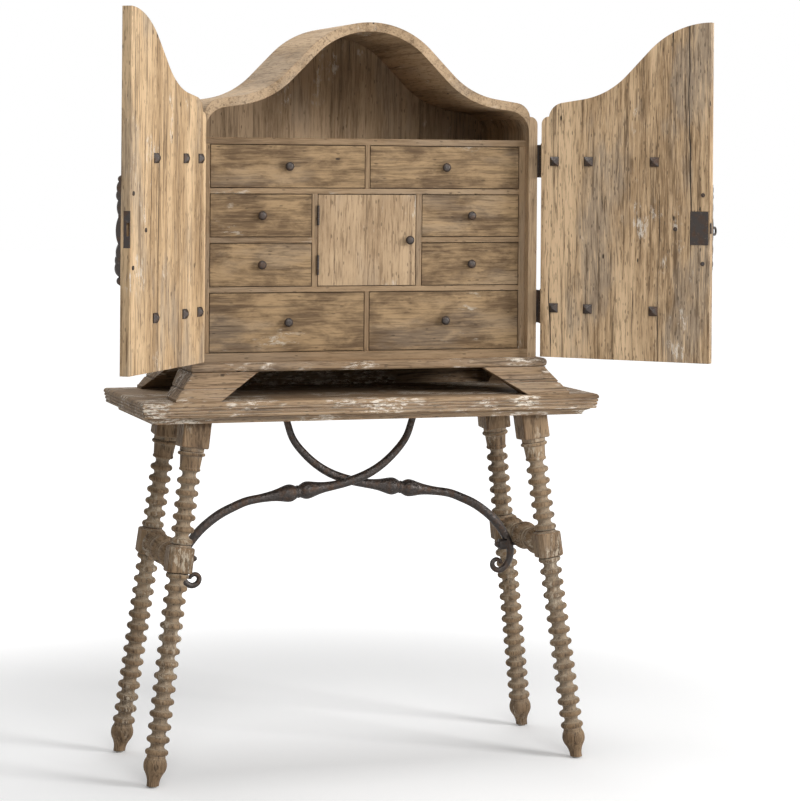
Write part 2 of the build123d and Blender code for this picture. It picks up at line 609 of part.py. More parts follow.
def mid_block(side, end):
    """Square block that takes the stretcher's tenon."""
    half = MID_BLOCK_HEIGHT / 2
    solid = leg_plane(side, end, MID_BLOCK_LEVEL) * square_block(MID_BLOCK, -half, half,
                                                                MID_BLOCK_CORNER)
    axis = leg_axis(side, end, MID_BLOCK_LEVEL)
    inward = Vector(0, -end, 0)
    mouth = axis + inward * MID_BLOCK
    bottom = axis + inward * (MID_BLOCK / 2 - TENON_LENGTH - TENON_CLEARANCE)
    return solid - bar(tuple(mouth), tuple(bottom), TENON_DIAMETER / 2 + TENON_CLEARANCE)


def leg(side, end):
    """Turned leg: foot, lower bobbins, stretcher block, upper bobbins, neck and top block."""
    stretch = leg_stretch()
    top_base = SLAB_UNDERSIDE - TOP_BLOCK_HEIGHT
    half = MID_BLOCK_HEIGHT / 2 / stretch
    lower = turned(scaled(leg_lower_profile(MID_BLOCK_LEVEL - half), stretch))
    upper = turned(scaled(leg_upper_profile(MID_BLOCK_LEVEL + half, top_base), stretch))
    head = square_block(TOP_BLOCK, top_base * stretch, STAND_HEIGHT * stretch, BLOCK_CHAMFER)
    solid = leg_plane(side, end, 0.0) * (lower + upper + head) + mid_block(side, end)
    foot = leg_axis(side, end, GLIDE_HEIGHT)
    return solid & block(foot.X - FAR, foot.X + FAR, foot.Y - FAR, foot.Y + FAR, GLIDE_HEIGHT,
                         SLAB_UNDERSIDE)


def leg_glides():
    glides = []
    for side in (-1, 1):
        for end in (-1, 1):
            foot = leg_axis(side, end, GLIDE_HEIGHT)
            glides.append(bar((foot.X, foot.Y, 0.0), (foot.X, foot.Y, GLIDE_HEIGHT),
                              GLIDE_DIAMETER / 2))
    return group(glides)


def polar_bead(offset):
    """Point of the stretcher's middle bead at a distance from its middle, as (radius, offset)."""
    half = STRETCHER_MIDDLE_WIDTH / 2
    rise = (STRETCHER_BEAD_DIAMETER - STRETCHER_VALLEY_DIAMETER) / 2
    radius = (half ** 2 + rise ** 2) / (2 * rise)
    return STRETCHER_BEAD_DIAMETER / 2 - radius + math.sqrt(radius ** 2 - offset ** 2), offset


def stretcher(side):
    """Turned side stretcher, its shoulders cut to the splayed blocks and tenoned into them."""
    axis = leg_axis(side, 1, MID_BLOCK_LEVEL)
    shoulder = axis.Y - STAND_MIDDLE - MID_BLOCK / 2
    ring = shoulder - STRETCHER_RING_WIDTH
    bead = ring - STRETCHER_BEAD_WIDTH
    middle = STRETCHER_MIDDLE_WIDTH / 2
    disc = (bead - middle) / STRETCHER_DISC_COUNT
    valley = STRETCHER_VALLEY_DIAMETER / 2
    edge = STRETCHER_DISC_DIAMETER / 2 - STRETCHER_DISC_RIM / 2
    half = []
    for index in range(STRETCHER_DISC_COUNT):
        rim = middle + (index + 0.5) * disc
        half.append((edge, rim - STRETCHER_DISC_RIM / 2))
        half.append((STRETCHER_DISC_DIAMETER / 2, rim, edge, rim + STRETCHER_DISC_RIM / 2))
        half.append((valley, rim + disc / 2))
    half += [(STRETCHER_BEAD_DIAMETER / 2, (ring + bead) / 2, valley, ring),
             (STRETCHER_RING_DIAMETER / 2, ring + STRETCHER_RING_WIDTH / 4),
             (STRETCHER_RING_DIAMETER / 2, shoulder + STRETCHER_RING_WIDTH / 4),
             (TENON_DIAMETER / 2, shoulder + STRETCHER_RING_WIDTH / 4),
             (TENON_DIAMETER / 2, shoulder + TENON_LENGTH)]
    profile = [(0.0, 0.0), (STRETCHER_BEAD_DIAMETER / 2, 0.0),
               (*polar_bead(middle / 2), valley, middle)] + half
    frame = Plane(origin=(axis.X, STAND_MIDDLE, MID_BLOCK_LEVEL), x_dir=(1, 0, 0), z_dir=(0, 1, 0))
    solid = frame * turned(profile)
    solid += mirror(solid, Plane(origin=(0, STAND_MIDDLE, 0), z_dir=(0, 1, 0)))
    for end in (-1, 1):
        solid -= mid_block(side, end)
    return solid - brace_bolt_hole(side)


def brace_plane_y(side):
    """Plane of the brace whose scroll is on this side."""
    return STAND_MIDDLE + side * BRACE_SPACING / 2


def brace_reach():
    """Bar's middle at the bolt, from the centre line."""
    return leg_axis(1, 1, MID_BLOCK_LEVEL).X - BRACE_STANDOFF


def brace_points():
    """Middle line of the brace that ends on the left as (x, z, diameter), from above its plate."""
    reach = brace_reach()
    rise = PLATE_BASE - BRACE_BOLT_LEVEL
    points = [(x * reach, BRACE_BOLT_LEVEL + z * rise, diameter * BRACE_DIAMETER)
              for x, z, diameter in BRACE_LINE]
    points += [(x * SCROLL_DROP - reach, BRACE_BOLT_LEVEL + z * SCROLL_DROP, diameter * BRACE_DIAMETER)
               for x, z, diameter in SCROLL_LINE]
    (x0, z0, diameter), (x1, z1, _) = points[:2]
    above = (x0 + (x0 - x1) * BRACE_TOP_SPARE, z0 + (z0 - z1) * BRACE_TOP_SPARE, diameter)
    return [above] + points


def knop_radius(offset, bar_radius):
    """Radius of the double knop at a distance from its middle ring, fading into the bar."""
    distance = abs(offset)
    ring, neck, belly = KNOP_RING_DIAMETER / 2, KNOP_NECK_DIAMETER / 2, KNOP_DIAMETER / 2
    if distance <= KNOP_NECK_HALF:
        return ring + (neck - ring) * distance / KNOP_NECK_HALF
    if distance <= KNOP_SPREAD:
        turn = (distance - KNOP_NECK_HALF) / (KNOP_SPREAD - KNOP_NECK_HALF) * math.pi / 2
        return neck + (belly - neck) * math.sin(turn)
    if distance >= KNOP_REACH:
        return bar_radius
    part = (distance - KNOP_SPREAD) / (KNOP_REACH - KNOP_SPREAD)
    fade = 1 / (1 + (KNOP_FADE * part) ** 2) - part / (1 + KNOP_FADE ** 2)
    return bar_radius + (belly - bar_radius) * fade


def brace_seat_x():
    """Flat on the bar's inner side, as a distance from the centre line."""
    return brace_reach() - BRACE_SEAT_OFFSET


def brace_stations(points):
    """Sections of the brace as (share of the middle line's length, radius)."""
    lengths = [math.dist(a[:2], b[:2]) for a, b in zip(points, points[1:])]
    ring = KNOP_SHARE * sum(lengths)
    stations = []
    for index, length in enumerate(lengths):
        start, end = points[index][2] / 2, points[index + 1][2] / 2
        here = sum(lengths[:index])
        near_knop = abs(here + length / 2 - ring) < KNOP_REACH + length / 2
        count = KNOP_STATIONS if near_knop else BRACE_STATIONS
        for step in range(count):
            place = here + length * step / count
            radius = knop_radius(place - ring, start + (end - start) * step / count)
            stations.append((place / sum(lengths), radius))
    return stations + [(1.0, points[-1][2] / 2)]


def brace_bar():
    """Forged round bar with its double knop, along the middle line."""
    points = brace_points()
    line = Spline(*[(x, brace_plane_y(-1), z) for x, z, _ in points])
    sections = [Plane(origin=line.position_at(share), x_dir=(0, 1, 0), z_dir=line.tangent_at(share))
                * Circle(radius) for share, radius in brace_stations(points)]
    return loft(sections, ruled=True)


def brace():
    """Forged brace from the right of the slab down to the left stretcher."""
    level = BRACE_BOLT_LEVEL
    spot = brace_plane_y(-1)
    seat = -brace_seat_x()
    flat = block(seat, seat + BOSS_LENGTH, spot - BOSS_DIAMETER / 2, spot + BOSS_DIAMETER / 2,
                 level - BOSS_DIAMETER / 2, level + BOSS_DIAMETER / 2)
    hole = bar((seat - BOSS_DIAMETER, spot, level), (seat + BOSS_LENGTH, spot, level),
               BRACE_BOLT_HOLE / 2)
    top = block(-FAR, FAR, STAND_FRONT, STAND_BACK, PLATE_BASE, STAND_HEIGHT)
    return brace_bar() - flat - hole - top


def brace_for(side):
    """The brace whose scroll is on this side; the right one mirrors the left one."""
    if side < 0:
        return brace()
    return Pos(0, BRACE_SPACING, 0) * mirrored(brace())


def plate_x(side):
    """Plate middle of the brace whose scroll is on this side."""
    return -side * brace_points()[1][0]


def plate_screw_spots(side):
    return [(plate_x(side) + offset, brace_plane_y(side))
            for offset in (-PLATE_SCREW_SPACING / 2, PLATE_SCREW_SPACING / 2)]


def brace_plates():
    """Two plates under the slab with their screws."""
    pieces = []
    for side in (-1, 1):
        middle = plate_x(side)
        spot = brace_plane_y(side)
        plate = block(middle - BRACE_PLATE_LENGTH / 2, middle + BRACE_PLATE_LENGTH / 2,
                      spot - BRACE_PLATE_WIDTH / 2, spot + BRACE_PLATE_WIDTH / 2, PLATE_BASE,
                      SLAB_UNDERSIDE)
        for x, y in plate_screw_spots(side):
            plate -= bar((x, y, PLATE_BASE - CUT_SPARE), (x, y, SLAB_UNDERSIDE + CUT_SPARE),
                         PLATE_SCREW_SHANK / 2 + SCREW_CLEARANCE)
            head_base = PLATE_BASE - PLATE_SCREW_HEAD_HEIGHT
            tip = SLAB_UNDERSIDE + PLATE_SCREW_DEPTH - CUT_SPARE
            screw = turned([(PLATE_SCREW_HEAD / 2, head_base), (PLATE_SCREW_HEAD / 2, PLATE_BASE),
                            (PLATE_SCREW_SHANK / 2, PLATE_BASE), (PLATE_SCREW_SHANK / 2, tip)])
            pieces.append(Pos(x, y, 0) * screw)
        pieces.append(plate)
    return group(pieces)


def brace_bolt_hole(side):
    """Hole for a brace bolt in the stretcher on this side."""
    axis = leg_axis(side, 1, MID_BLOCK_LEVEL)
    spot = brace_plane_y(side)
    depth = brace_bolt_tip() + CUT_SPARE
    return bar((side * (abs(axis.X) - STRETCHER_BEAD_DIAMETER), spot, BRACE_BOLT_LEVEL),
               (side * depth, spot, BRACE_BOLT_LEVEL), BRACE_BOLT_HOLE / 2)


def brace_bolt_tip():
    """End of a brace bolt inside the stretcher, from the centre line."""
    return abs(leg_axis(1, 1, MID_BLOCK_LEVEL).X) + BRACE_BOLT_DEPTH / 2


def brace_bolts():
    """Bolt and boss in one turning, from inside the stand through bar and stretcher."""
    pieces = []
    seat = brace_seat_x()
    head = seat - BOSS_LENGTH
    profile = [(BOLT_HEAD_DIAMETER / 4, head - BOLT_HEAD_HEIGHT),
               (BOLT_HEAD_DIAMETER / 2, head - BOLT_HEAD_HEIGHT / 2),
               (BOLT_HEAD_DIAMETER / 2, head), (BOSS_DIAMETER / 2 - BOSS_BEVEL, head),
               (BOSS_DIAMETER / 2, head + BOSS_BEVEL), (BOSS_DIAMETER / 2, seat),
               (BRACE_BOLT_SHANK / 2, seat), (BRACE_BOLT_SHANK / 2, brace_bolt_tip())]
    for side in (-1, 1):
        frame = Plane(origin=(0, brace_plane_y(side), BRACE_BOLT_LEVEL), x_dir=(0, 1, 0),
                      z_dir=(side, 0, 0))
        pieces.append(frame * turned(profile))
    return group(pieces)


# --- Cabinet: base ---------------------------------------------------------------------------
def base_edges():
    """Outer extents of the base moulding's nose: half width, front and back."""
    return HALF_CASE + BASE_NOSE_SIDE, -BASE_NOSE_FRONT, CASE_DEPTH


def base_moulding():
    """Bead moulding under the case: a front and two sides, mitred, and a plain back rail."""
    half, front, back = base_edges()
    whole = block(-half, half, front, back, FOOT_TOP, CASE_BASE)
    outer = [edge for edge in whole.edges().filter_by(Axis.X) if edge.center().Y < 0.0]
    outer += whole.edges().filter_by(Axis.Y)
    whole = fillet(outer, BASE_NOSE_RADIUS)
    inner = HALF_CASE - BASE_MOULDING_INNER
    width = half - inner
    whole -= block(-inner, inner, front + width, back - BASE_BACK_RAIL, FOOT_TOP, CASE_BASE)
    front_outline = [(-half, front), (half, front), (inner, front + width), (-inner, front + width)]
    rail_front = back - BASE_BACK_RAIL
    side_outline = [(half, front), (half, back), (inner, back), (inner, front + width)]
    side_piece = whole & slab_xy(side_outline, FOOT_TOP, CASE_BASE)
    rail = block(-inner, inner, rail_front, back, FOOT_TOP, CASE_BASE)
    return group([whole & slab_xy(front_outline, FOOT_TOP, CASE_BASE), side_piece,
                  mirrored(side_piece), rail])


def foot_profile(flare):
    """Outer face of a foot from its base up, as (distance out from its top edge, height)."""
    base = STAND_HEIGHT
    fillet_top = base + FOOT_FILLET_HEIGHT
    groove = FOOT_TOP - FOOT_GROOVE_DROP
    fall = FOOT_TOP - FOOT_TOP_BAND - fillet_top
    brow = flare * FOOT_BROW_SHARE
    below = brow * (FOOT_TOP - FOOT_TOP_BAND - groove + FOOT_GROOVE_WIDTH / 2) / fall
    above = brow * (FOOT_TOP - FOOT_TOP_BAND - groove - FOOT_GROOVE_WIDTH / 2) / fall
    return [(flare, base), (flare, fillet_top), (brow, fillet_top),
            (below, groove - FOOT_GROOVE_WIDTH / 2),
            (below - FOOT_GROOVE_DEPTH, groove - FOOT_GROOVE_WIDTH / 2),
            (above - FOOT_GROOVE_DEPTH, groove + FOOT_GROOVE_WIDTH / 2),
            (above, groove + FOOT_GROOVE_WIDTH / 2), (0.0, FOOT_TOP - FOOT_TOP_BAND),
            (0.0, FOOT_TOP)]


def bracket_feet():
    """Flared feet cut from one moulded plinth with a plain closed back."""
    half, front, back = base_edges()
    half -= FOOT_STEP
    front += FOOT_STEP
    side = [(half + out, z) for out, z in foot_profile(FOOT_FLARE_SIDE)]
    side += [(-x, z) for x, z in side[::-1]]
    depth = [(front - out, z) for out, z in foot_profile(FOOT_FLARE_FRONT)]
    depth += [(back, FOOT_TOP), (back, STAND_HEIGHT)]
    ring = slab_xz(side, front - FOOT_FLARE_FRONT, back) & slab_yz(depth, -FAR, FAR)
    ring -= block(-half + FOOT_WALL, half - FOOT_WALL, front + FOOT_WALL, back - FOOT_WALL,
                  STAND_HEIGHT, FOOT_TOP)
    front_gap = [(-FRONT_FOOT_BASE_X, STAND_HEIGHT), (FRONT_FOOT_BASE_X, STAND_HEIGHT),
                 (FRONT_FOOT_TOP_X, FOOT_TOP), (-FRONT_FOOT_TOP_X, FOOT_TOP)]
    side_gap = [(front - FOOT_FLARE_FRONT + SIDE_FOOT_BASE, STAND_HEIGHT),
                (back - BACK_FOOT_BASE, STAND_HEIGHT), (back - SIDE_FOOT_TOP, FOOT_TOP),
                (front + SIDE_FOOT_TOP, FOOT_TOP)]
    ring -= slab_xz(front_gap, front - FAR, back - FOOT_WALL)
    ring -= slab_yz(side_gap, -FAR, FAR)
    return group([ring])


# --- Cabinet: case ---------------------------------------------------------------------------
def roof_curve(thickness, half, radius):
    """Right half of the roof's outline, apex to shoulder, inset by a thickness from the outside."""
    drop = roof_drop()
    crown = (0.0, EAVES + drop - CROWN_RADIUS)
    fall = math.radians(HAUNCH_ANGLE)
    slope = math.radians(EAVES_SLOPE)
    outer_haunch = polar(crown, CROWN_RADIUS, HAUNCH_ANGLE)
    outer_foot = (outer_haunch[0] + HAUNCH_LENGTH * math.cos(fall),
                  outer_haunch[1] - HAUNCH_LENGTH * math.sin(fall))
    hollow = (outer_foot[0] + HOLLOW_RADIUS * math.sin(fall),
              outer_foot[1] + HOLLOW_RADIUS * math.cos(fall))
    crown_radius = CROWN_RADIUS - thickness
    hollow_radius = HOLLOW_RADIUS + thickness
    apex = (0.0, crown[1] + crown_radius)
    haunch = polar(crown, crown_radius, HAUNCH_ANGLE)
    foot = polar(hollow, hollow_radius, HAUNCH_ANGLE + 180.0)
    rise = polar(hollow, hollow_radius, EAVES_SLOPE + 180.0)
    centre_x = half - radius
    run = (centre_x + radius * math.sin(slope) - rise[0]) / math.cos(slope)
    shoulder = (rise[0] + run * math.cos(slope), rise[1] - run * math.sin(slope))
    centre = (centre_x, shoulder[1] - radius * math.cos(slope))
    middle = (HAUNCH_ANGLE + EAVES_SLOPE) / 2 + 180.0
    return [apex, (*polar(crown, crown_radius, HAUNCH_ANGLE / 2), *haunch), foot,
            (*polar(hollow, hollow_radius, middle), *rise), shoulder,
            (*polar(centre, radius, (EAVES_SLOPE + 90.0) / 2), half, centre[1])]


def roof_drop():
    """Height of the apex above the eaves."""
    fall = math.radians(HAUNCH_ANGLE)
    slope = math.radians(EAVES_SLOPE)
    foot_x = CROWN_RADIUS * math.sin(fall) + HAUNCH_LENGTH * math.cos(fall)
    foot_z = CROWN_RADIUS * (1 - math.cos(fall)) + HAUNCH_LENGTH * math.sin(fall)
    rise_x = foot_x + HOLLOW_RADIUS * (math.sin(fall) - math.sin(slope))
    rise_z = foot_z + HOLLOW_RADIUS * (math.cos(slope) - math.cos(fall))
    shoulder_x = ROOF_HALF - SHOULDER_RADIUS * (1 - math.sin(slope))
    shoulder_z = rise_z + (shoulder_x - rise_x) * math.tan(slope)
    return shoulder_z + SHOULDER_RADIUS * math.cos(slope)


def outer_curve():
    return roof_curve(0.0, ROOF_HALF, SHOULDER_RADIUS)


def inner_curve():
    return roof_curve(ROOF_THICKNESS, HALF_INNER, INNER_SHOULDER_RADIUS)


def half_outline(curve, base, edge):
    """Right half of an outline down to a base level, starting a little past the centre line."""
    return list(curve) + [(curve[-1][-2], base), (edge, base)]


def arch_body(curve, base, y0, y1):
    """Solid under a whole roof outline, made of its two halves."""
    half = slab_xz(half_outline(curve, base, 0.0), y0, y1)
    return half + mirrored(half)


def roof_arch():
    shell = arch_body(outer_curve(), EAVES, 0.0, CASE_DEPTH)
    return shell - arch_body(inner_curve(), CASE_BASE, 0.0, CASE_DEPTH)


def case_side(side):
    """Side board with its upper outer corner rounded."""
    board = block(HALF_INNER - INNER_SHOULDER_RADIUS, HALF_CASE, 0.0, CASE_DEPTH, CASE_BASE, EAVES)
    board += block(ROOF_HALF, HALF_CASE, 0.0, CASE_DEPTH, CASE_BASE, EAVES + SIDE_TOP_RISE)
    board = fillet(top_corner(board), CASE_CORNER_RADIUS)
    board -= arch_body(inner_curve(), CASE_BASE, 0.0, CASE_DEPTH)
    return on_side(board, side)


def top_corner(board):
    """Upper outer edge of a board that stands beside the roof."""
    return [edge for edge in board.edges().filter_by(Axis.Y)
            if edge.center().X > (ROOF_HALF + DOOR_EDGE) / 2 and edge.center().Z > EAVES]


def case_bottom():
    return block(-HALF_INNER, HALF_INNER, 0.0, BACK_FACE, CASE_BASE, ROW_BASE)


def back_panel():
    return arch_body(inner_curve(), CASE_BASE, BACK_FACE, CASE_DEPTH)


# --- Cabinet: drawer unit --------------------------------------------------------------------
def unit_board(x0, x1, z0, z1):
    return block(x0, x1, UNIT_SETBACK, BACK_FACE, z0, z1)


def unit_sides():
    board = unit_board(UNIT_INNER, HALF_INNER, ROW_BASE, UNIT_TOP_BASE)
    return group([board, mirrored(board)])


def uprights():
    """Two boards beside the cupboard; the left one is let in for the small hinges."""
    right = unit_board(CUPBOARD_HALF, CUPBOARD_HALF + UPRIGHT, LOWER_ROW_BASE, UPPER_SHELF)
    left = mirrored(right)
    for level in SMALL_LEVELS:
        left -= small_leaf_frame(level)
    return group([left, right])


def short_shelves():
    shelf = unit_board(CUPBOARD_HALF + UPRIGHT, UNIT_INNER, SHORT_SHELF, UPPER_ROW_BASE)
    return group([shelf, mirrored(shelf)])


def centre_dividers():
    half = DIVIDER / 2
    return group([unit_board(-half, half, TOP_ROW_BASE, UNIT_TOP_BASE),
                  unit_board(-half, half, ROW_BASE, LOWER_SHELF)])


def drawer_cells():
    """Clear space of each drawer on the right as (inner x, outer x, base, top)."""
    wide = DIVIDER / 2
    narrow = CUPBOARD_HALF + UPRIGHT
    return {"top": (wide, UNIT_INNER, TOP_ROW_BASE, UNIT_TOP_BASE),
            "upper": (narrow, UNIT_INNER, UPPER_ROW_BASE, UPPER_SHELF),
            "lower": (narrow, UNIT_INNER, LOWER_ROW_BASE, SHORT_SHELF),
            "bottom": (wide, UNIT_INNER, ROW_BASE, LOWER_SHELF)}


def drawer(cell, side):
    """Drawer of five boards: front, two sides, back and bottom."""
    x0, x1 = cell[0] + DRAWER_GAP, cell[1] - DRAWER_GAP
    z0, z1 = cell[2] + DRAWER_GAP, cell[3] - DRAWER_GAP
    inside = UNIT_SETBACK + DRAWER_FRONT
    end = UNIT_SETBACK + DRAWER_DEPTH
    high = z1 - DRAWER_SIDE_DROP
    floor = z0 + DRAWER_BOTTOM_LIFT
    front = block(x0, x1, UNIT_SETBACK, inside, z0, z1) - knob_hole(cell)
    boards = [front, block(x0, x0 + DRAWER_SIDE, inside, end, z0, high),
              block(x1 - DRAWER_SIDE, x1, inside, end, z0, high),
              block(x0 + DRAWER_SIDE, x1 - DRAWER_SIDE, end - DRAWER_SIDE, end, z0, high),
              block(x0 + DRAWER_SIDE, x1 - DRAWER_SIDE, inside, end - DRAWER_SIDE, floor,
                    floor + DRAWER_BOTTOM)]
    return on_side(group(boards), side)


def knob_place(cell):
    return (cell[0] + cell[1]) / 2, (cell[2] + cell[3]) / 2


def knob_hole(cell):
    x, z = knob_place(cell)
    return knob_bore(x, z)


def knob_bore(x, z):
    return bar((x, UNIT_SETBACK - CUT_SPARE, z), (x, UNIT_SETBACK + KNOB_SPIGOT_LENGTH + CUT_SPARE, z),
               KNOB_SPIGOT_DIAMETER / 2 + KNOB_HOLE_CLEARANCE)


def knob(x, z):
    """Turned iron knob with a spigot, its axis square to the drawer unit's front."""
    neck_end = KNOB_PROJECTION - KNOB_HEAD_HEIGHT
    rim = KNOB_DIAMETER / 2
    (belly, belly_up), (crown, crown_up) = KNOB_HEAD_BELLY, KNOB_HEAD_CROWN
    profile = [(KNOB_SPIGOT_DIAMETER / 2, -KNOB_SPIGOT_LENGTH), (KNOB_SPIGOT_DIAMETER / 2, 0.0),
               (KNOB_BASE_DIAMETER / 2, 0.0), (KNOB_BASE_DIAMETER / 2, KNOB_BASE_HEIGHT),
               (KNOB_NECK_DIAMETER / 2, KNOB_BASE_HEIGHT), (KNOB_NECK_DIAMETER / 2, neck_end),
               (rim * belly, neck_end + KNOB_HEAD_HEIGHT * belly_up, rim,
                neck_end + KNOB_HEAD_HEIGHT * KNOB_RIM_LEVEL),
               (rim * crown, neck_end + KNOB_HEAD_HEIGHT * crown_up, rim * KNOB_TIP_SHARE,
                KNOB_PROJECTION)]
    return Plane(origin=(x, UNIT_SETBACK, z), x_dir=(1, 0, 0), z_dir=(0, -1, 0)) * turned(profile)


# --- Cabinet: inner door ---------------------------------------------------------------------
def small_leaf_frame(level):
    """Leaf in the left upright, from the barrel's axis back into the cupboard's side."""
    return block(-CUPBOARD_HALF - SMALL_LEAF, -CUPBOARD_HALF, UNIT_SETBACK,
                 UNIT_SETBACK + SMALL_LEAF_DEPTH, level - SMALL_HINGE_HEIGHT / 2,
                 level + SMALL_HINGE_HEIGHT / 2)


def small_leaf_door(level):
    """Leaf in the inner door's edge."""
    return block(-INNER_DOOR_HALF, -INNER_DOOR_HALF + SMALL_LEAF, UNIT_SETBACK,
                 UNIT_SETBACK + SMALL_LEAF_DEPTH, level - SMALL_HINGE_HEIGHT / 2,
                 level + SMALL_HINGE_HEIGHT / 2)


def small_knuckle(z0, z1, x0, x1):
    """Barrel length with the tongue that joins it to its leaf."""
    tongue = block(x0, x1, SMALL_AXIS_Y, UNIT_SETBACK, z0, z1)
    barrel = bar((SMALL_AXIS_X, SMALL_AXIS_Y, z0), (SMALL_AXIS_X, SMALL_AXIS_Y, z1),
                 SMALL_BARREL_RADIUS)
    bore = bar((SMALL_AXIS_X, SMALL_AXIS_Y, z0), (SMALL_AXIS_X, SMALL_AXIS_Y, z1),
               SMALL_PIN_RADIUS + PIN_CLEARANCE)
    return barrel + tongue - bore


def inner_hinge_frame_leaves():
    """Two fixed leaves with their end knuckles and pins."""
    pieces = []
    third = SMALL_HINGE_HEIGHT / 6
    for level in SMALL_LEVELS:
        half = SMALL_HINGE_HEIGHT / 2
        leaf = small_leaf_frame(level)
        for z0, z1 in ((level - half, level - third), (level + third, level + half)):
            leaf += small_knuckle(z0, z1, -CUPBOARD_HALF - SMALL_LEAF, -CUPBOARD_HALF)
        pieces.append(leaf)
        pieces.append(bar((SMALL_AXIS_X, SMALL_AXIS_Y, level - half),
                          (SMALL_AXIS_X, SMALL_AXIS_Y, level + half), SMALL_PIN_RADIUS))
    return group(pieces)


def inner_hinge_door_leaves():
    pieces = []
    third = SMALL_HINGE_HEIGHT / 6 - KNUCKLE_GAP
    for level in SMALL_LEVELS:
        pieces.append(small_leaf_door(level)
                      + small_knuckle(level - third, level + third, -INNER_DOOR_HALF,
                                      -INNER_DOOR_HALF + SMALL_LEAF))
    return group(pieces)


def inner_knob_place():
    return INNER_DOOR_HALF - INNER_KNOB_INSET, (INNER_DOOR_BASE + INNER_DOOR_TOP) / 2


def inner_door():
    board = block(-INNER_DOOR_HALF, INNER_DOOR_HALF, UNIT_SETBACK,
                  UNIT_SETBACK + INNER_DOOR_THICKNESS, INNER_DOOR_BASE, INNER_DOOR_TOP)
    for level in SMALL_LEVELS:
        board -= small_leaf_door(level)
    return board - knob_bore(*inner_knob_place())


# --- Cabinet: outer doors, drawn closed and on the right ---------------------------------------
def swing(shape, side):
    """Turn a closed door's piece, already on its side, to where the door stands."""
    angle = RIGHT_DOOR_OPEN if side > 0 else -LEFT_DOOR_OPEN
    return shape.rotate(Axis((side * HINGE_X, HINGE_Y, 0), (0, 0, 1)), angle)


def placed_on_door(shape, side):
    """A piece drawn on the closed right door, moved to where it belongs."""
    return swing(on_side(shape, side), side)


def hinge_bar(level, z0, z1, radius):
    """Upright bar on the right hinge axis, its ends measured from a hinge's middle."""
    return bar((HINGE_X, HINGE_Y, level + z0), (HINGE_X, HINGE_Y, level + z1), radius)


def door_boards():
    """Wide panel and narrow hinge stile of the right door, closed."""
    panel = slab_xz(half_outline(outer_curve(), DOOR_BASE, 0.0), DOOR_OUTER_FACE, DOOR_INNER_FACE)
    panel -= block(-FREE_EDGE, FREE_EDGE, DOOR_OUTER_FACE, DOOR_INNER_FACE, CASE_BASE,
                   EAVES + roof_drop())
    stile = block(ROOF_HALF, DOOR_EDGE, DOOR_OUTER_FACE, DOOR_INNER_FACE, DOOR_BASE,
                  EAVES + SIDE_TOP_RISE)
    return panel, fillet(top_corner(stile), CASE_CORNER_RADIUS - DOOR_EDGE_INSET)


def bolt_spots():
    """Strap bolts on the right door as (x, z)."""
    return [(HINGE_X - distance, level) for level in HINGE_LEVELS for distance in STRAP_BOLTS]


def nail_spots():
    middle = CASE_BASE + ESCUTCHEON_LEVEL
    return [(FREE_EDGE + distance * ESCUTCHEON_HEIGHT, middle + height * ESCUTCHEON_HEIGHT)
            for distance, height in NAIL_SPOTS]


def across_door(x, z, radius, outer=0.0, inner=0.0):
    """Bar square to the door, reaching past each face by the given lengths."""
    return bar((x, DOOR_OUTER_FACE - outer, z), (x, DOOR_INNER_FACE + inner, z), radius)


def drilled(board):
    """Cut the holes of the strap bolts, the nails and the hinge barrels into a door board."""
    for x, z in bolt_spots():
        board -= across_door(x, z, BOLT_SHANK / 2 + BOLT_CLEARANCE, CUT_SPARE, CUT_SPARE)
    for x, z in nail_spots():
        board -= across_door(x, z, NAIL_SHANK / 2 + NAIL_CLEARANCE, CUT_SPARE, CUT_SPARE)
    for level in HINGE_LEVELS:
        reach = BARREL_HEIGHT / 2 + BARREL_CLEARANCE
        board -= hinge_bar(level, -reach, reach, BARREL_RADIUS + BARREL_CLEARANCE)
    return board


def lock_box(spare, proud):
    """Outer block of the lock in the right door, larger all round by a spare."""
    x0 = FREE_EDGE + LOCK_INSET
    return block(x0 - spare, x0 + LOCK_WIDTH + spare, DOOR_INNER_FACE - LOCK_DEPTH - spare,
                 DOOR_INNER_FACE + proud, LOCK_MIDDLE - LOCK_HEIGHT / 2 - spare,
                 LOCK_MIDDLE + LOCK_HEIGHT / 2 + spare)


def latch_passage(x0, x1, depth, height):
    """Straight slot along X for the latch."""
    return block(x0, x1, LATCH_Y - depth / 2, LATCH_Y + depth / 2, LOCK_MIDDLE - height / 2,
                 LOCK_MIDDLE + height / 2)


def latch_slot(x0, x1):
    return latch_passage(x0, x1, LATCH_THICKNESS + 2 * LATCH_FIT, LATCH_HEIGHT + 2 * LATCH_FIT)


def key_bore(y0, y1):
    x = FREE_EDGE + KEY_INSET
    return bar((x, y0, KEY_LEVEL), (x, y1, KEY_LEVEL), KEY_SHANK_RADIUS + KEY_FIT)


def strike_block(spare):
    """Strike plate's place in the free edge, drawn on the right."""
    return block(FREE_EDGE, FREE_EDGE + STRIKE_THICKNESS, DOOR_INNER_FACE - STRIKE_WIDTH,
                 DOOR_INNER_FACE, LOCK_MIDDLE - STRIKE_HEIGHT / 2 - spare,
                 LOCK_MIDDLE + STRIKE_HEIGHT / 2 + spare)


def door(side):
    panel, stile = door_boards()
    panel = drilled(panel)
    if side > 0:
        panel -= lock_box(LOCK_FIT, CUT_SPARE)
        panel -= latch_slot(0.0, FREE_EDGE + LOCK_INSET + LOCK_WALL)
        panel -= key_bore(DOOR_OUTER_FACE - CUT_SPARE, DOOR_INNER_FACE)
    else:
        panel -= strike_block(0.0)
        panel -= latch_passage(0.0, FREE_EDGE + STRIKE_POCKET_DEPTH, STRIKE_SLOT_WIDTH,
                               STRIKE_SLOT_HEIGHT)
    return placed_on_door(group([panel, drilled(stile)]), side)


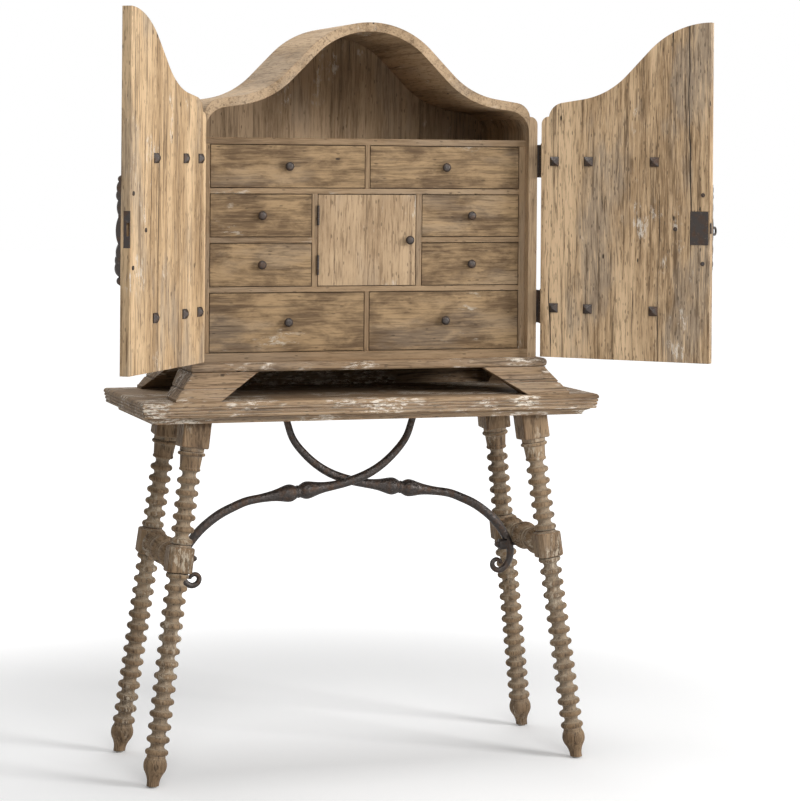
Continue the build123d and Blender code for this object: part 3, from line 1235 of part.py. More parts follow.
def leaf_plate(level):
    """Leaf plate on the right side board's outer face, with its nail heads."""
    low, high = level - BARREL_HEIGHT / 2, level + BARREL_HEIGHT / 2
    outer = HINGE_X + LEAF_THICKNESS / 2
    cut = LEAF_LENGTH - LEAF_CORNER
    plate = slab_yz([(0.0, low), (cut, low), (LEAF_LENGTH, low + LEAF_CORNER),
                     (LEAF_LENGTH, high - LEAF_CORNER), (cut, high), (0.0, high)],
                    HALF_CASE, outer)
    for back, rise in LEAF_NAILS:
        plate += bar((HALF_CASE, back, level + rise), (outer + LEAF_NAIL_PROUD, back, level + rise),
                     LEAF_NAIL_RADIUS)
    return plate


def case_hinge_leaves():
    """Fixed leaves nailed to the case's sides, with their end knuckles and pins."""
    pieces = []
    half = BARREL_HEIGHT / 2
    outer = HINGE_X + LEAF_THICKNESS / 2
    for level in HINGE_LEVELS:
        leaf = leaf_plate(level)
        leaf += block(HINGE_X - LEAF_THICKNESS / 2, outer, HINGE_Y, LEAF_THICKNESS, level - half,
                      level + half)
        leaf += hinge_bar(level, -half, half, BARREL_RADIUS)
        middle = KNUCKLE / 2
        leaf -= hinge_bar(level, -middle, middle, BARREL_RADIUS + BARREL_CLEARANCE)
        leaf -= hinge_bar(level, -half, half, HINGE_PIN_RADIUS + PIN_CLEARANCE)
        pin = hinge_bar(level, -half, half + PIN_CAP_HEIGHT / 2, HINGE_PIN_RADIUS)
        pin += hinge_bar(level, half, half + PIN_CAP_HEIGHT, PIN_CAP_RADIUS)
        pieces += [leaf, pin, mirrored(leaf), mirrored(pin)]
    return group(pieces)


def strap(level):
    """Strap hinge on the closed right door: knuckle, root plate, tapered bar and pointed end."""
    outer = DOOR_OUTER_FACE - STRAP_THICKNESS
    tip = HINGE_X - STRAP_LENGTH
    root = HINGE_X - STRAP_START
    waist = root - STRAP_ROOT_LENGTH
    tall = STRAP_ROOT_HEIGHT / 2
    slim = STRAP_WAIST_HEIGHT / 2
    plate = slab_xz([(root, level - tall), (root, level + tall), (waist, level + slim),
                     (tip, level + slim * STRAP_END_SHARE), (tip, level - slim * STRAP_END_SHARE),
                     (waist, level - slim)], outer, DOOR_OUTER_FACE)
    plate += bar((tip, outer, level), (tip, DOOR_OUTER_FACE, level), STRAP_TIP_RADIUS)
    point = STRAP_TIP_RADIUS * STRAP_POINT_SHARE
    plate += slab_xz([(tip - point, level + point), (tip - STRAP_POINT_LENGTH, level),
                      (tip - point, level - point)], outer, DOOR_OUTER_FACE)
    reach = KNUCKLE / 2 - KNUCKLE_GAP
    plate += block(root - CUT_SPARE, HINGE_X, outer, DOOR_OUTER_FACE, level - reach, level + reach)
    plate += hinge_bar(level, -reach, reach, BARREL_RADIUS)
    plate -= hinge_bar(level, -reach, reach, HINGE_PIN_RADIUS + PIN_CLEARANCE)
    for x, z in bolt_spots():
        plate -= across_door(x, z, BOLT_SHANK / 2 + BOLT_CLEARANCE, 2 * STRAP_THICKNESS)
    return plate


def straps(side):
    return placed_on_door(group([strap(level) for level in HINGE_LEVELS]), side)


def strap_bolt(x, z):
    """Bolt with a domed outer head and a square pyramid on the inner face."""
    seat = DOOR_THICKNESS + STRAP_THICKNESS
    profile = dome(BOLT_DOME_RADIUS, BOLT_DOME_HEIGHT) + [(BOLT_SHANK / 2, 0.0),
                                                          (BOLT_SHANK / 2, seat)]
    bolt = Plane(origin=(x, DOOR_OUTER_FACE - STRAP_THICKNESS, z), x_dir=(1, 0, 0),
                 z_dir=(0, 1, 0)) * turned(profile)
    half = NUT_SIZE / 2
    bolt += block(x - half, x + half, DOOR_INNER_FACE, DOOR_INNER_FACE + NUT_EDGE_HEIGHT, z - half,
                  z + half)
    base = Plane(origin=(x, DOOR_INNER_FACE + NUT_EDGE_HEIGHT, z), x_dir=(1, 0, 0), z_dir=(0, 1, 0))
    top = base.offset(NUT_HEIGHT - NUT_EDGE_HEIGHT)
    return bolt + loft([base * Rectangle(NUT_SIZE, NUT_SIZE), top * Rectangle(NUT_TIP, NUT_TIP)],
                       ruled=True)


def strap_bolts(side):
    return placed_on_door(group([strap_bolt(x, z) for x, z in bolt_spots()]), side)


def nail(x, z):
    """Round-headed nail through escutcheon and door, clenched over a round rove inside."""
    head = DOOR_OUTER_FACE - ESCUTCHEON_PLATE
    seat = DOOR_THICKNESS + ESCUTCHEON_PLATE
    rove = seat + NAIL_ROVE_HEIGHT
    profile = dome(NAIL_HEAD_RADIUS, NAIL_HEAD_HEIGHT) + [
        (NAIL_SHANK / 2, 0.0), (NAIL_SHANK / 2, seat), (NAIL_ROVE_RADIUS, seat),
        (NAIL_ROVE_RADIUS, rove), (NAIL_SHANK / 2, rove), (NAIL_SHANK / 2, rove + NAIL_TIP_HEIGHT)]
    return Plane(origin=(x, head, z), x_dir=(1, 0, 0), z_dir=(0, 1, 0)) * turned(profile)


def escutcheon(side):
    """Half of a scrolled iron cartouche: a lobed plate with raised bosses, and its nails."""
    middle = CASE_BASE + ESCUTCHEON_LEVEL
    plate_y = DOOR_OUTER_FACE - ESCUTCHEON_PLATE
    lobes = []
    for lobe in ESCUTCHEON_LOBES:
        distance, height, radius, relief = [share * ESCUTCHEON_HEIGHT for share in lobe]
        x, z = FREE_EDGE + distance, middle + height
        lobes.append(bar((x, plate_y, z), (x, DOOR_OUTER_FACE, z), radius))
        boss = turned([(radius * BOSS_RIM, 0.0), (radius * BOSS_CROWN[0], relief * BOSS_CROWN[1],
                                                  radius * BOSS_TOP, relief)])
        lobes.append(Plane(origin=(x, plate_y, z), x_dir=(1, 0, 0), z_dir=(0, -1, 0)) * boss)
    plate = lobes[0]
    for lobe in lobes[1:]:
        plate += lobe
    plate -= block(-FAR, FREE_EDGE + ESCUTCHEON_MARGIN, plate_y - FAR, DOOR_OUTER_FACE,
                   CASE_BASE, EAVES + roof_drop())
    pieces = []
    for x, z in nail_spots():
        plate -= bar((x, plate_y - FAR, z), (x, plate_y, z), NAIL_HEAD_RADIUS + NAIL_CLEARANCE)
        plate -= across_door(x, z, NAIL_SHANK / 2 + NAIL_CLEARANCE, ESCUTCHEON_PLATE + CUT_SPARE)
        pieces.append(nail(x, z))
    if side > 0:
        plate -= key_bore(plate_y - FAR, DOOR_OUTER_FACE)
    return placed_on_door(group([plate] + pieces), side)


def lock_case():
    """Hollow lock let into the right door's inner face."""
    box = lock_box(0.0, LOCK_PROUD)
    room = lock_box(-LOCK_WALL, -LOCK_WALL + LOCK_PROUD)
    box -= room
    box -= latch_slot(0.0, FREE_EDGE + LOCK_INSET + 2 * LOCK_WALL)
    box -= key_bore(DOOR_OUTER_FACE, DOOR_INNER_FACE - LOCK_DEPTH + 2 * LOCK_WALL)
    return placed_on_door(box, 1)


def lock_bolt():
    """Latch with a full head and a narrow tail above the key."""
    start = FREE_EDGE - LATCH_PROUD
    shoulder = start + LATCH_HEAD_LENGTH
    head = latch_passage(start, shoulder, LATCH_THICKNESS, LATCH_HEIGHT)
    top = LOCK_MIDDLE + LATCH_HEIGHT / 2
    tail = block(shoulder, shoulder + LATCH_TAIL_LENGTH, LATCH_Y - LATCH_THICKNESS / 2,
                 LATCH_Y + LATCH_THICKNESS / 2, top - LATCH_TAIL_HEIGHT, top)
    return placed_on_door(head + tail, 1)


def key():
    """Key standing in the lock: shank, collar, open bow and bit."""
    x = FREE_EDGE + KEY_INSET
    outer = DOOR_OUTER_FACE - KEY_LENGTH
    inner = DOOR_INNER_FACE - LOCK_WALL - KEY_TIP_GAP
    bow_end = outer + KEY_BOW_LENGTH
    shank = bar((x, bow_end - KEY_BOW_BAND / 2, KEY_LEVEL), (x, inner, KEY_LEVEL), KEY_SHANK_RADIUS)
    shank += bar((x, bow_end, KEY_LEVEL), (x, bow_end + KEY_COLLAR_LENGTH, KEY_LEVEL),
                 KEY_COLLAR_RADIUS)
    frame = Plane(origin=(x - KEY_BOW_THICKNESS / 2, (outer + bow_end) / 2, KEY_LEVEL),
                  x_dir=(0, 1, 0), z_dir=(1, 0, 0))
    bow = extrude(frame * Ellipse(KEY_BOW_LENGTH / 2, KEY_BOW_HEIGHT / 2), KEY_BOW_THICKNESS)
    bow -= extrude(frame * Ellipse(KEY_BOW_LENGTH / 2 - KEY_BOW_BAND,
                                   KEY_BOW_HEIGHT / 2 - KEY_BOW_BAND), KEY_BOW_THICKNESS)
    bit = block(x - KEY_BIT_THICKNESS / 2, x + KEY_BIT_THICKNESS / 2, inner - KEY_BIT_LENGTH, inner,
                KEY_LEVEL - KEY_BIT_DROP, KEY_LEVEL)
    return placed_on_door(shank + bow + bit, 1)


def strike_plate():
    """Plate let into the left door's free edge, with the latch's slot."""
    plate = strike_block(0.0) - latch_passage(0.0, FREE_EDGE + STRIKE_POCKET_DEPTH,
                                              STRIKE_SLOT_WIDTH, STRIKE_SLOT_HEIGHT)
    return placed_on_door(plate, -1)


# --- The whole piece -------------------------------------------------------------------------
STAND_NAMES = ("stand", "leg", "stretcher", "brace")   # first words of the stand's pieces


def all_pieces():
    """Every piece by name; the stand's are drawn on the centre line and then moved aside."""
    pieces = {"stand_top": stand_top(), "stand_moulding": stand_moulding(),
              "leg_glides": leg_glides(), "brace_front": brace_for(-1), "brace_back": brace_for(1),
              "brace_bolts": brace_bolts(), "brace_plates": brace_plates(),
              "base_moulding": base_moulding(), "bracket_feet": bracket_feet(),
              "case_bottom": case_bottom(), "roof_arch": roof_arch(), "back_panel": back_panel(),
              "unit_sides": unit_sides(), "uprights": uprights(), "short_shelves": short_shelves(),
              "centre_dividers": centre_dividers(),
              "unit_top": unit_board(-HALF_INNER, HALF_INNER, UNIT_TOP_BASE,
                                     UNIT_TOP_BASE + UNIT_TOP),
              "shelf_upper": unit_board(-UNIT_INNER, UNIT_INNER, UPPER_SHELF, TOP_ROW_BASE),
              "shelf_lower": unit_board(-UNIT_INNER, UNIT_INNER, LOWER_SHELF, LOWER_ROW_BASE),
              "inner_door": inner_door(), "inner_door_knob": knob(*inner_knob_place()),
              "inner_hinge_frame_leaves": inner_hinge_frame_leaves(),
              "inner_hinge_door_leaves": inner_hinge_door_leaves(),
              "case_hinge_leaves": case_hinge_leaves(), "lock_case": lock_case(),
              "lock_bolt": lock_bolt(), "key": key(), "strike_plate": strike_plate()}
    for side, name in ((-1, "left"), (1, "right")):
        for end, place in ((-1, "front"), (1, "back")):
            pieces[f"leg_{place}_{name}"] = leg(side, end)
        pieces[f"stretcher_{name}"] = stretcher(side)
        pieces[f"case_side_{name}"] = case_side(side)
        for row, cell in drawer_cells().items():
            pieces[f"drawer_{row}_{name}"] = drawer(cell, side)
            x, z = knob_place(cell)
            pieces[f"knob_{row}_{name}"] = knob(side * x, z)
        pieces[f"door_{name}"] = door(side)
        pieces[f"straps_{name}"] = straps(side)
        pieces[f"strap_bolts_{name}"] = strap_bolts(side)
        pieces[f"escutcheon_{name}"] = escutcheon(side)
    for name in pieces:
        if name.startswith(STAND_NAMES):
            pieces[name] = Pos(-STAND_ASIDE, 0, 0) * pieces[name]
    return pieces


def centring(pieces):
    """Move that puts the middle of the whole bounding box over the origin."""
    boxes = [piece.bounding_box() for piece in pieces.values()]
    middle_x = (min(box.min.X for box in boxes) + max(box.max.X for box in boxes)) / 2
    middle_y = (min(box.min.Y for box in boxes) + max(box.max.Y for box in boxes)) / 2
    return Vector(-middle_x, -middle_y, 0.0)


PIECES = all_pieces()
SHIFT = centring(PIECES)


def write_parts():
    os.makedirs("parts", exist_ok=True)
    for name, piece in PIECES.items():
        export_step(Pos(*SHIFT) * piece, f"parts/{name}.step")


if __name__ == "__main__":
    write_parts()
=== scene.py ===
"""Looks of an arched cabinet on a bobbin-turned stand: weathered wood, forged iron and a pale stage.

Lengths are in metres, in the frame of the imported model: +Z up, the front towards -Y.
"""
import math

import bpy
from bpy.props import FloatProperty, FloatVectorProperty, PointerProperty
from bpy.types import Operator, Panel, PropertyGroup
from mathutils import Matrix, Vector


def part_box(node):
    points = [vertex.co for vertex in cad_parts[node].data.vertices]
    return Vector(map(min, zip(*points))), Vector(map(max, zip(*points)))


bl_info = {
    "name": "Cabinet on Stand",
    "version": (1, 0, 0),
    "blender": (4, 5, 0),
    "location": "View3D > Sidebar > Cabinet",
    "description": "Finishes, ironwork and stage of an arched cabinet on a bobbin-turned stand",
    "category": "Object",
}

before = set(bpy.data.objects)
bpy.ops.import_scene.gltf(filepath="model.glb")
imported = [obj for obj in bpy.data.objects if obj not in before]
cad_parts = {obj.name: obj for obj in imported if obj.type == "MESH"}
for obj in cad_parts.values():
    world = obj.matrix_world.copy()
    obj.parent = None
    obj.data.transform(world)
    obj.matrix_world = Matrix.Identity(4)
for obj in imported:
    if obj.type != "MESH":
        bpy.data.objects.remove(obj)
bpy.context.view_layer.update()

# Reference places on the cabinet: the case's centre line and its front edge.
CASE_LOW, CASE_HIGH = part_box("case_bottom")
CENTRE_X = (CASE_LOW.x + CASE_HIGH.x) / 2
FRONT_Y = CASE_LOW.y

AXES = ("X", "Y", "Z")
LEFT_DOOR_TURN = 126.7      # degrees that would close each door
RIGHT_DOOR_TURN = -136.1
DOOR_WEAR = 0.2


# --- Settings ----------------------------------------------------------------------------------
def colour(name, description, value):
    return FloatVectorProperty(name=name, description=description, subtype="COLOR", size=3,
                               min=0.0, max=1.0, default=value)


def share(name, description, value):
    return FloatProperty(name=name, description=description, subtype="FACTOR", min=0.0, max=1.0,
                         default=value)


def watts(name, description, value):
    return FloatProperty(name=name, description=description, subtype="POWER", unit="POWER", min=0.0,
                         default=value)


def wood_settings(class_name, light, middle, dark, lime_colour, streaks, lime, grey, cracks, specks,
                  figure):
    """PropertyGroup class for one wood finish with its own defaults."""
    return type(class_name, (PropertyGroup,), {"__annotations__": {
        "light": colour("Light wood", "Colour of the pale, dry surface", light),
        "middle": colour("Middle wood", "Colour between the streaks", middle),
        "dark": colour("Dark wood", "Colour of the dark grain", dark),
        "lime_colour": colour("Lime colour", "Colour of the lime wash", lime_colour),
        "streaks": share("Streaks", "Strength of the dark streaks along the grain", streaks),
        "lime": share("Lime", "How much pale lime wash stays on the surface", lime),
        "grey": share("Grey", "How much of the surface has weathered grey", grey),
        "cracks": share("Cracks", "How many drying cracks run along the grain", cracks),
        "specks": share("Specks", "How many small dark pores and pits there are", specks),
        "figure": share("Figure", "Strength of the soft clouds of the figure", figure)}})


DoorWood = wood_settings("DoorWood", (0.68, 0.485, 0.29), (0.45, 0.298, 0.16), (0.11, 0.063, 0.03),
                         (0.70, 0.63, 0.54), 0.95, 0.04, 0.5, 0.8, 0.95, 0.1)
# The right door's copy of the door wood: its brighter light wood and stronger contrast are painted
# light, standing in for the grazing light on this door.
RightDoorWood = wood_settings("RightDoorWood", (0.74, 0.535, 0.33), (0.40, 0.265, 0.145),
                              (0.085, 0.048, 0.022), (0.72, 0.65, 0.56), 1.0, 0.06, 0.55, 0.95, 1.0, 0.1)
ShellWood = wood_settings("ShellWood", (0.48, 0.342, 0.212), (0.33, 0.226, 0.13), (0.1, 0.06, 0.03),
                          (0.62, 0.55, 0.46), 0.75, 0.1, 0.3, 0.3, 0.4, 0.25)
InnerDoorWood = wood_settings("InnerDoorWood", (0.46, 0.325, 0.195), (0.30, 0.2, 0.112),
                              (0.09, 0.05, 0.024), (0.55, 0.48, 0.39), 0.85, 0.04, 0.2, 0.35, 0.6, 0.5)
CaseWood = wood_settings("CaseWood", (0.315, 0.213, 0.12), (0.21, 0.135, 0.071), (0.07, 0.04, 0.019),
                         (0.50, 0.43, 0.35), 0.65, 0.05, 0.2, 0.2, 0.45, 0.4)
DrawerWood = wood_settings("DrawerWood", (0.335, 0.222, 0.114), (0.11, 0.065, 0.03),
                           (0.05, 0.027, 0.012), (0.45, 0.39, 0.31), 0.7, 0.03, 0.2, 0.05, 0.2, 0.9)
BaseWood = wood_settings("BaseWood", (0.34, 0.233, 0.138), (0.185, 0.116, 0.062), (0.045, 0.024, 0.011),
                         (0.78, 0.71, 0.61), 1.0, 0.6, 0.25, 0.4, 0.8, 0.35)
LegWood = wood_settings("LegWood", (0.29, 0.195, 0.11), (0.15, 0.092, 0.048), (0.03, 0.016, 0.008),
                        (0.46, 0.39, 0.295), 1.0, 0.4, 0.15, 0.2, 1.0, 0.6)


class IronSettings(PropertyGroup):
    base: colour("Iron", "Colour of the waxed iron", (0.055, 0.047, 0.043))
    rust: colour("Rust", "Colour of the brown bloom in the hollows", (0.075, 0.048, 0.034))
    roughness: share("Roughness", "Roughness of the iron", 0.46)
    hammer: share("Hammering", "Depth of the hammer marks", 0.9)


class StageSettings(PropertyGroup):
    floor: colour("Floor", "Colour of the floor", (0.80, 0.80, 0.80))
    glow: share("Floor glow", "Brightness added to the floor near the piece", 0.2)
    ambient: share("Ambient light", "Strength of the light from all round", 0.12)
    key: watts("Key light", "Power of the lamp at the front right", 130.0)
    high: watts("High light", "Power of the lamp above the front", 94.0)
    top: watts("Top light", "Power of the lamp overhead", 62.0)


class CabinetSettings(PropertyGroup):
    door: PointerProperty(type=DoorWood)
    right_door: PointerProperty(type=RightDoorWood)
    shell: PointerProperty(type=ShellWood)
    case: PointerProperty(type=CaseWood)
    inner_door: PointerProperty(type=InnerDoorWood)
    drawer: PointerProperty(type=DrawerWood)
    base: PointerProperty(type=BaseWood)
    leg: PointerProperty(type=LegWood)
    iron: PointerProperty(type=IronSettings)
    stage: PointerProperty(type=StageSettings)


# --- Material building -------------------------------------------------------------------------
def add(tree, kind, inputs=None, **settings):
    """Add a node, set its attributes, and set or link its inputs by name or number."""
    node = tree.nodes.new(kind)
    for name, value in settings.items():
        setattr(node, name, value)
    for name, value in (inputs or {}).items():
        if isinstance(value, bpy.types.NodeSocket):
            tree.links.new(value, node.inputs[name])
        else:
            node.inputs[name].default_value = value
    return node


def math_node(tree, operation, first, second=0.0, clamp=False):
    return add(tree, "ShaderNodeMath", {0: first, 1: second}, operation=operation,
               use_clamp=clamp).outputs[0]


def blend_colour(tree, factor, first, second, mode="MIX"):
    """Mix two colours; each is a socket or an RGB triple."""
    node = add(tree, "ShaderNodeMix", data_type="RGBA", blend_type=mode)
    for name, value in (("Factor_Float", factor), ("A_Color", first), ("B_Color", second)):
        socket = next(item for item in node.inputs if item.identifier == name)
        if isinstance(value, bpy.types.NodeSocket):
            tree.links.new(value, socket)
        elif name == "Factor_Float":
            socket.default_value = value
        else:
            socket.default_value = (*value, 1.0)
    return next(item for item in node.outputs if item.identifier == "Result_Color")


def ramp(tree, value, low, high, start=0.0, end=1.0):
    """Smooth step of a value between two limits."""
    return add(tree, "ShaderNodeMapRange", {"Value": value, "From Min": low, "From Max": high,
                                            "To Min": start, "To Max": end},
               interpolation_type="SMOOTHSTEP").outputs[0]


def noise(tree, place, scale, detail=3.0, roughness=0.5, distortion=0.0):
    return add(tree, "ShaderNodeTexNoise", {"Vector": place, "Scale": scale, "Detail": detail,
                                            "Roughness": roughness,
                                            "Distortion": distortion}).outputs["Fac"]


def stretched(tree, place, grain, amount, thin=None):
    """Coordinates squeezed along the grain, so that a texture runs along it; none across thin."""
    scale = [1.0, 1.0, 1.0]
    scale[AXES.index(grain)] = amount
    if thin:
        scale[AXES.index(thin)] = 0.0
    return add(tree, "ShaderNodeMapping", {"Vector": place, "Scale": scale}).outputs[0]


def turned(tree, place, angle):
    """Coordinates turned about the upright axis."""
    return add(tree, "ShaderNodeMapping", {"Vector": place,
                                           "Rotation": (0.0, 0.0, math.radians(angle))}).outputs[0]


def piece_place(tree, variety=3.0):
    """Coordinates fixed to the piece, moved by a different amount on each piece."""
    place = add(tree, "ShaderNodeTexCoord").outputs["Object"]
    chance = add(tree, "ShaderNodeObjectInfo").outputs["Random"]
    step = math_node(tree, "MULTIPLY", chance, variety)
    return add(tree, "ShaderNodeVectorMath", {0: place, 1: step}, operation="ADD").outputs[0]


def edge_mask(tree, radius, low=0.01, high=0.2):
    """Mask that is 1 on sharp edges and 0 on flat faces, and the rounded normals it comes from."""
    rounded = add(tree, "ShaderNodeBevel", {"Radius": radius}, samples=SHADE_SAMPLES).outputs[0]
    true = add(tree, "ShaderNodeNewGeometry").outputs["Normal"]
    same = add(tree, "ShaderNodeVectorMath", {0: rounded, 1: true}, operation="DOT_PRODUCT")
    return ramp(tree, math_node(tree, "SUBTRACT", 1.0, same.outputs["Value"]), low, high), rounded


def hollow_mask(tree, distance, low=0.35, high=0.85):
    """1 in hollows and corners, 0 on open faces."""
    open_share = add(tree, "ShaderNodeAmbientOcclusion", {"Distance": distance}, samples=SHADE_SAMPLES,
                     only_local=True).outputs["AO"]
    return ramp(tree, open_share, high, low)


def finish_material(tree, base, roughness, height, depth, rounded=None, metallic=0.0):
    """Close a material: bump from a height in metres, then the surface shader."""
    inputs = {"Height": height, "Strength": 1.0, "Distance": depth}
    if rounded is not None:
        inputs["Normal"] = rounded
    bump = add(tree, "ShaderNodeBump", inputs).outputs[0]
    shader = add(tree, "ShaderNodeBsdfPrincipled", {"Base Color": base, "Roughness": roughness,
                                                    "Normal": bump, "Metallic": metallic})
    shader.inputs["Specular IOR Level"].default_value = SPECULAR
    output = add(tree, "ShaderNodeOutputMaterial", {"Surface": shader.outputs[0]})
    output.is_active_output = True


def new_tree(name):
    material = bpy.data.materials.new(name)
    material.use_nodes = True
    material.node_tree.nodes.clear()
    return material, material.node_tree


# Wood textures: squeeze along the grain, size per metre, detail, roughness and distortion.
WANDER = (0.3, 6.0, 2.0, 0.5)
BAND = (0.05, 16.0, 4.0, 0.6)
STREAK = (0.03, 85.0, 5.0, 0.7)
FIBRE = (0.07, 290.0, 3.0, 0.65)
PATCH = (0.3, 9.0, 4.0, 0.6)
CLOUD = (0.4, 21.0, 6.0, 0.66, 0.3)
LIME_FLAKE = (0.25, 150.0, 5.0, 0.8)
LIME_AREA = (0.5, 12.0, 4.0, 0.65)
CRACK_DRIFT = (0.3, 6.0, 4.0, 0.6)
CRACK_PLACE = (0.22, 9.0, 2.0)
WANDER_REACH = 0.022        # metres that the grain strays sideways
CRACK_DRIFT_REACH = 0.03
CRACKS_PER_METRE = 26.0
CRACK_GAPE = 0.045          # half the widest crack, as a share of the space between two cracks
PORE_SQUEEZE = 0.35
WOOD_RELIEF = 0.0012        # metres for one unit of height
SPECULAR = 0.35
SHADE_SAMPLES = 4           # samples of the rounded normals and the hollows

# Colours of wood and iron that the finishes share, among them two of painted shade.
GREY = (0.30, 0.255, 0.205)
CRACK = (0.022, 0.013, 0.007)
# Painted shade: dark colour laid into tight creases, where shadow falls.
CREASE_SHADE = (0.03, 0.017, 0.009)
WEAR = (0.40, 0.185, 0.072)
# Painted shadow line along the edges of the drawers and the inner door.
SHADOW_LINE = (0.045, 0.026, 0.013)
RUBBED_IRON = (0.20, 0.18, 0.165)
PLASTIC = (0.62, 0.61, 0.58)
PLASTIC_SCUFF = (0.5, 0.49, 0.46)


def grain_noise(tree, place, grain, texture):
    """Noise that runs along the grain."""
    return noise(tree, stretched(tree, place, grain, texture[0]), *texture[1:])


def wood_layers(tree, finish, grain, place):
    """Colour of weathered wood with its grain along an axis, and its streaks and fibres."""
    wander = math_node(tree, "MULTIPLY", grain_noise(tree, place, grain, WANDER), WANDER_REACH)
    place = add(tree, "ShaderNodeVectorMath", {0: place, 1: wander}, operation="ADD").outputs[0]
    band, streak, fibre, patch, cloud = (grain_noise(tree, place, grain, texture)
                                         for texture in (BAND, STREAK, FIBRE, PATCH, CLOUD))
    light, middle, dark = tuple(finish.light), tuple(finish.middle), tuple(finish.dark)
    base = blend_colour(tree, ramp(tree, band, 0.4, 0.6), middle, light)
    soft = blend_colour(tree, ramp(tree, cloud, 0.4, 0.62), middle, light)
    base = blend_colour(tree, finish.figure, base, soft)
    base = blend_colour(tree, ramp(tree, band, 0.45, 0.33, 0.0, 0.3), base, dark)
    base = blend_colour(tree, ramp(tree, patch, 0.5, 0.62, 0.0, finish.grey), base, GREY)
    strength = finish.streaks
    base = blend_colour(tree, ramp(tree, streak, 0.52, 0.64, 0.0, 0.7 * strength), base, dark)
    base = blend_colour(tree, ramp(tree, streak, 0.47, 0.38, 0.0, 0.6 * strength), base, light)
    base = blend_colour(tree, ramp(tree, fibre, 0.52, 0.64, 0.0, 0.55 * strength), base, dark)
    base = blend_colour(tree, ramp(tree, fibre, 0.46, 0.36, 0.0, 0.5 * strength), base, light)
    return base, streak, fibre


def crack_lines(tree, place, grain, thin, amount):
    """Drying cracks: thin dark lines along the grain that taper out at both ends."""
    across = next(axis for axis in AXES if axis not in (grain, thin))
    side = add(tree, "ShaderNodeSeparateXYZ", {0: place}).outputs[across]
    drift = grain_noise(tree, place, grain, CRACK_DRIFT)
    side = math_node(tree, "ADD", side, math_node(tree, "MULTIPLY", drift, CRACK_DRIFT_REACH))
    cell = add(tree, "ShaderNodeTexVoronoi", {"W": side, "Scale": CRACKS_PER_METRE, "Randomness": 1.0},
               voronoi_dimensions="1D", feature="DISTANCE_TO_EDGE").outputs["Distance"]
    where = grain_noise(tree, place, grain, CRACK_PLACE)
    gape = ramp(tree, where, 0.66 - 0.15 * amount, 0.82 - 0.15 * amount, 0.0, CRACK_GAPE)
    return ramp(tree, cell, gape, math_node(tree, "MULTIPLY", gape, 0.5))


def pores(tree, place, grain, scale, width, amount):
    """Short dark specks along the grain; amount is the share of places that has one."""
    cells = add(tree, "ShaderNodeTexVoronoi", {"Vector": stretched(tree, place, grain, PORE_SQUEEZE),
                                               "Scale": scale, "Randomness": 1.0})
    pit = ramp(tree, cells.outputs["Distance"], width, width * 0.5)
    chance = add(tree, "ShaderNodeSeparateColor", {0: cells.outputs["Color"]}).outputs[0]
    return math_node(tree, "MULTIPLY", pit, math_node(tree, "LESS_THAN", chance, amount))


def wood_material(name, finish, grain, thin="Y", turn=0.0, edge=0.0025, hollow=None, edge_wear_and_shade=0.35,
                  crease_shade=0.0, edge_colour=WEAR):
    """Weathered, lime-washed wood: grain, cracks, pores, edges rubbed to orange (painted shadow lines on
    the drawers' edges), painted shade in tight creases, and lime in the hollows.

    The board is thin along an axis once it is turned back; hollow is (reach, strength) of the lime.
    """
    material, tree = new_tree(name)
    place = turned(tree, piece_place(tree), turn)
    base, streak, fibre = wood_layers(tree, finish, grain, place)
    edges, rounded = edge_mask(tree, edge)
    patches = noise(tree, place, 34.0, 5.0, 0.68)
    flake = grain_noise(tree, place, grain, LIME_FLAKE)
    area = grain_noise(tree, place, grain, LIME_AREA)
    lime = math_node(tree, "MULTIPLY", ramp(tree, flake, 0.5, 0.56, 0.0, 0.85),
                     ramp(tree, area, 0.62 - 0.22 * finish.lime, 0.7 - 0.2 * finish.lime))
    if hollow:
        filled = math_node(tree, "MULTIPLY", hollow_mask(tree, hollow[0], 0.5, 0.88), hollow[1])
        filled = math_node(tree, "MULTIPLY", filled, ramp(tree, patches, 0.36, 0.52, 0.55, 1.0))
        lime = math_node(tree, "MAXIMUM", lime, filled)
    base = blend_colour(tree, lime, base, tuple(finish.lime_colour))
    # Edge colour along the edges: rubbed orange on most pieces, a painted shadow line on the drawers and
    # the inner door.
    spread = ramp(tree, patches, 0.4, 0.58, 0.0, edge_wear_and_shade) if edge_colour is WEAR else edge_wear_and_shade
    worn_and_shaded_edges = math_node(tree, "MULTIPLY", edges, spread)
    base = blend_colour(tree, worn_and_shaded_edges, base, edge_colour)
    # Painted shade in tight creases, found by a hollow mask of short reach.
    if crease_shade > 0.0:
        tight = math_node(tree, "MULTIPLY", hollow_mask(tree, 0.005, 0.3, 0.62), crease_shade)
        base = blend_colour(tree, tight, base, CREASE_SHADE)
    crack = crack_lines(tree, place, grain, thin, finish.cracks)
    small = pores(tree, place, grain, 150.0, 0.3, 0.5 * finish.specks)
    large = pores(tree, place, grain, 50.0, 0.13, 0.12 * finish.specks)
    gaps = math_node(tree, "MAXIMUM", crack, large)
    gaps = math_node(tree, "MAXIMUM", gaps, math_node(tree, "MULTIPLY", small, 0.45))
    base = blend_colour(tree, gaps, base, CRACK)
    height = math_node(tree, "SUBTRACT", math_node(tree, "MULTIPLY", fibre, 0.25),
                       math_node(tree, "MULTIPLY", ramp(tree, streak, 0.5, 0.66), 0.3 * finish.streaks))
    height = math_node(tree, "SUBTRACT", height, gaps)
    roughness = ramp(tree, fibre, 0.2, 0.8, 0.62, 0.82)
    finish_material(tree, base, roughness, height, WOOD_RELIEF, rounded)
    return material


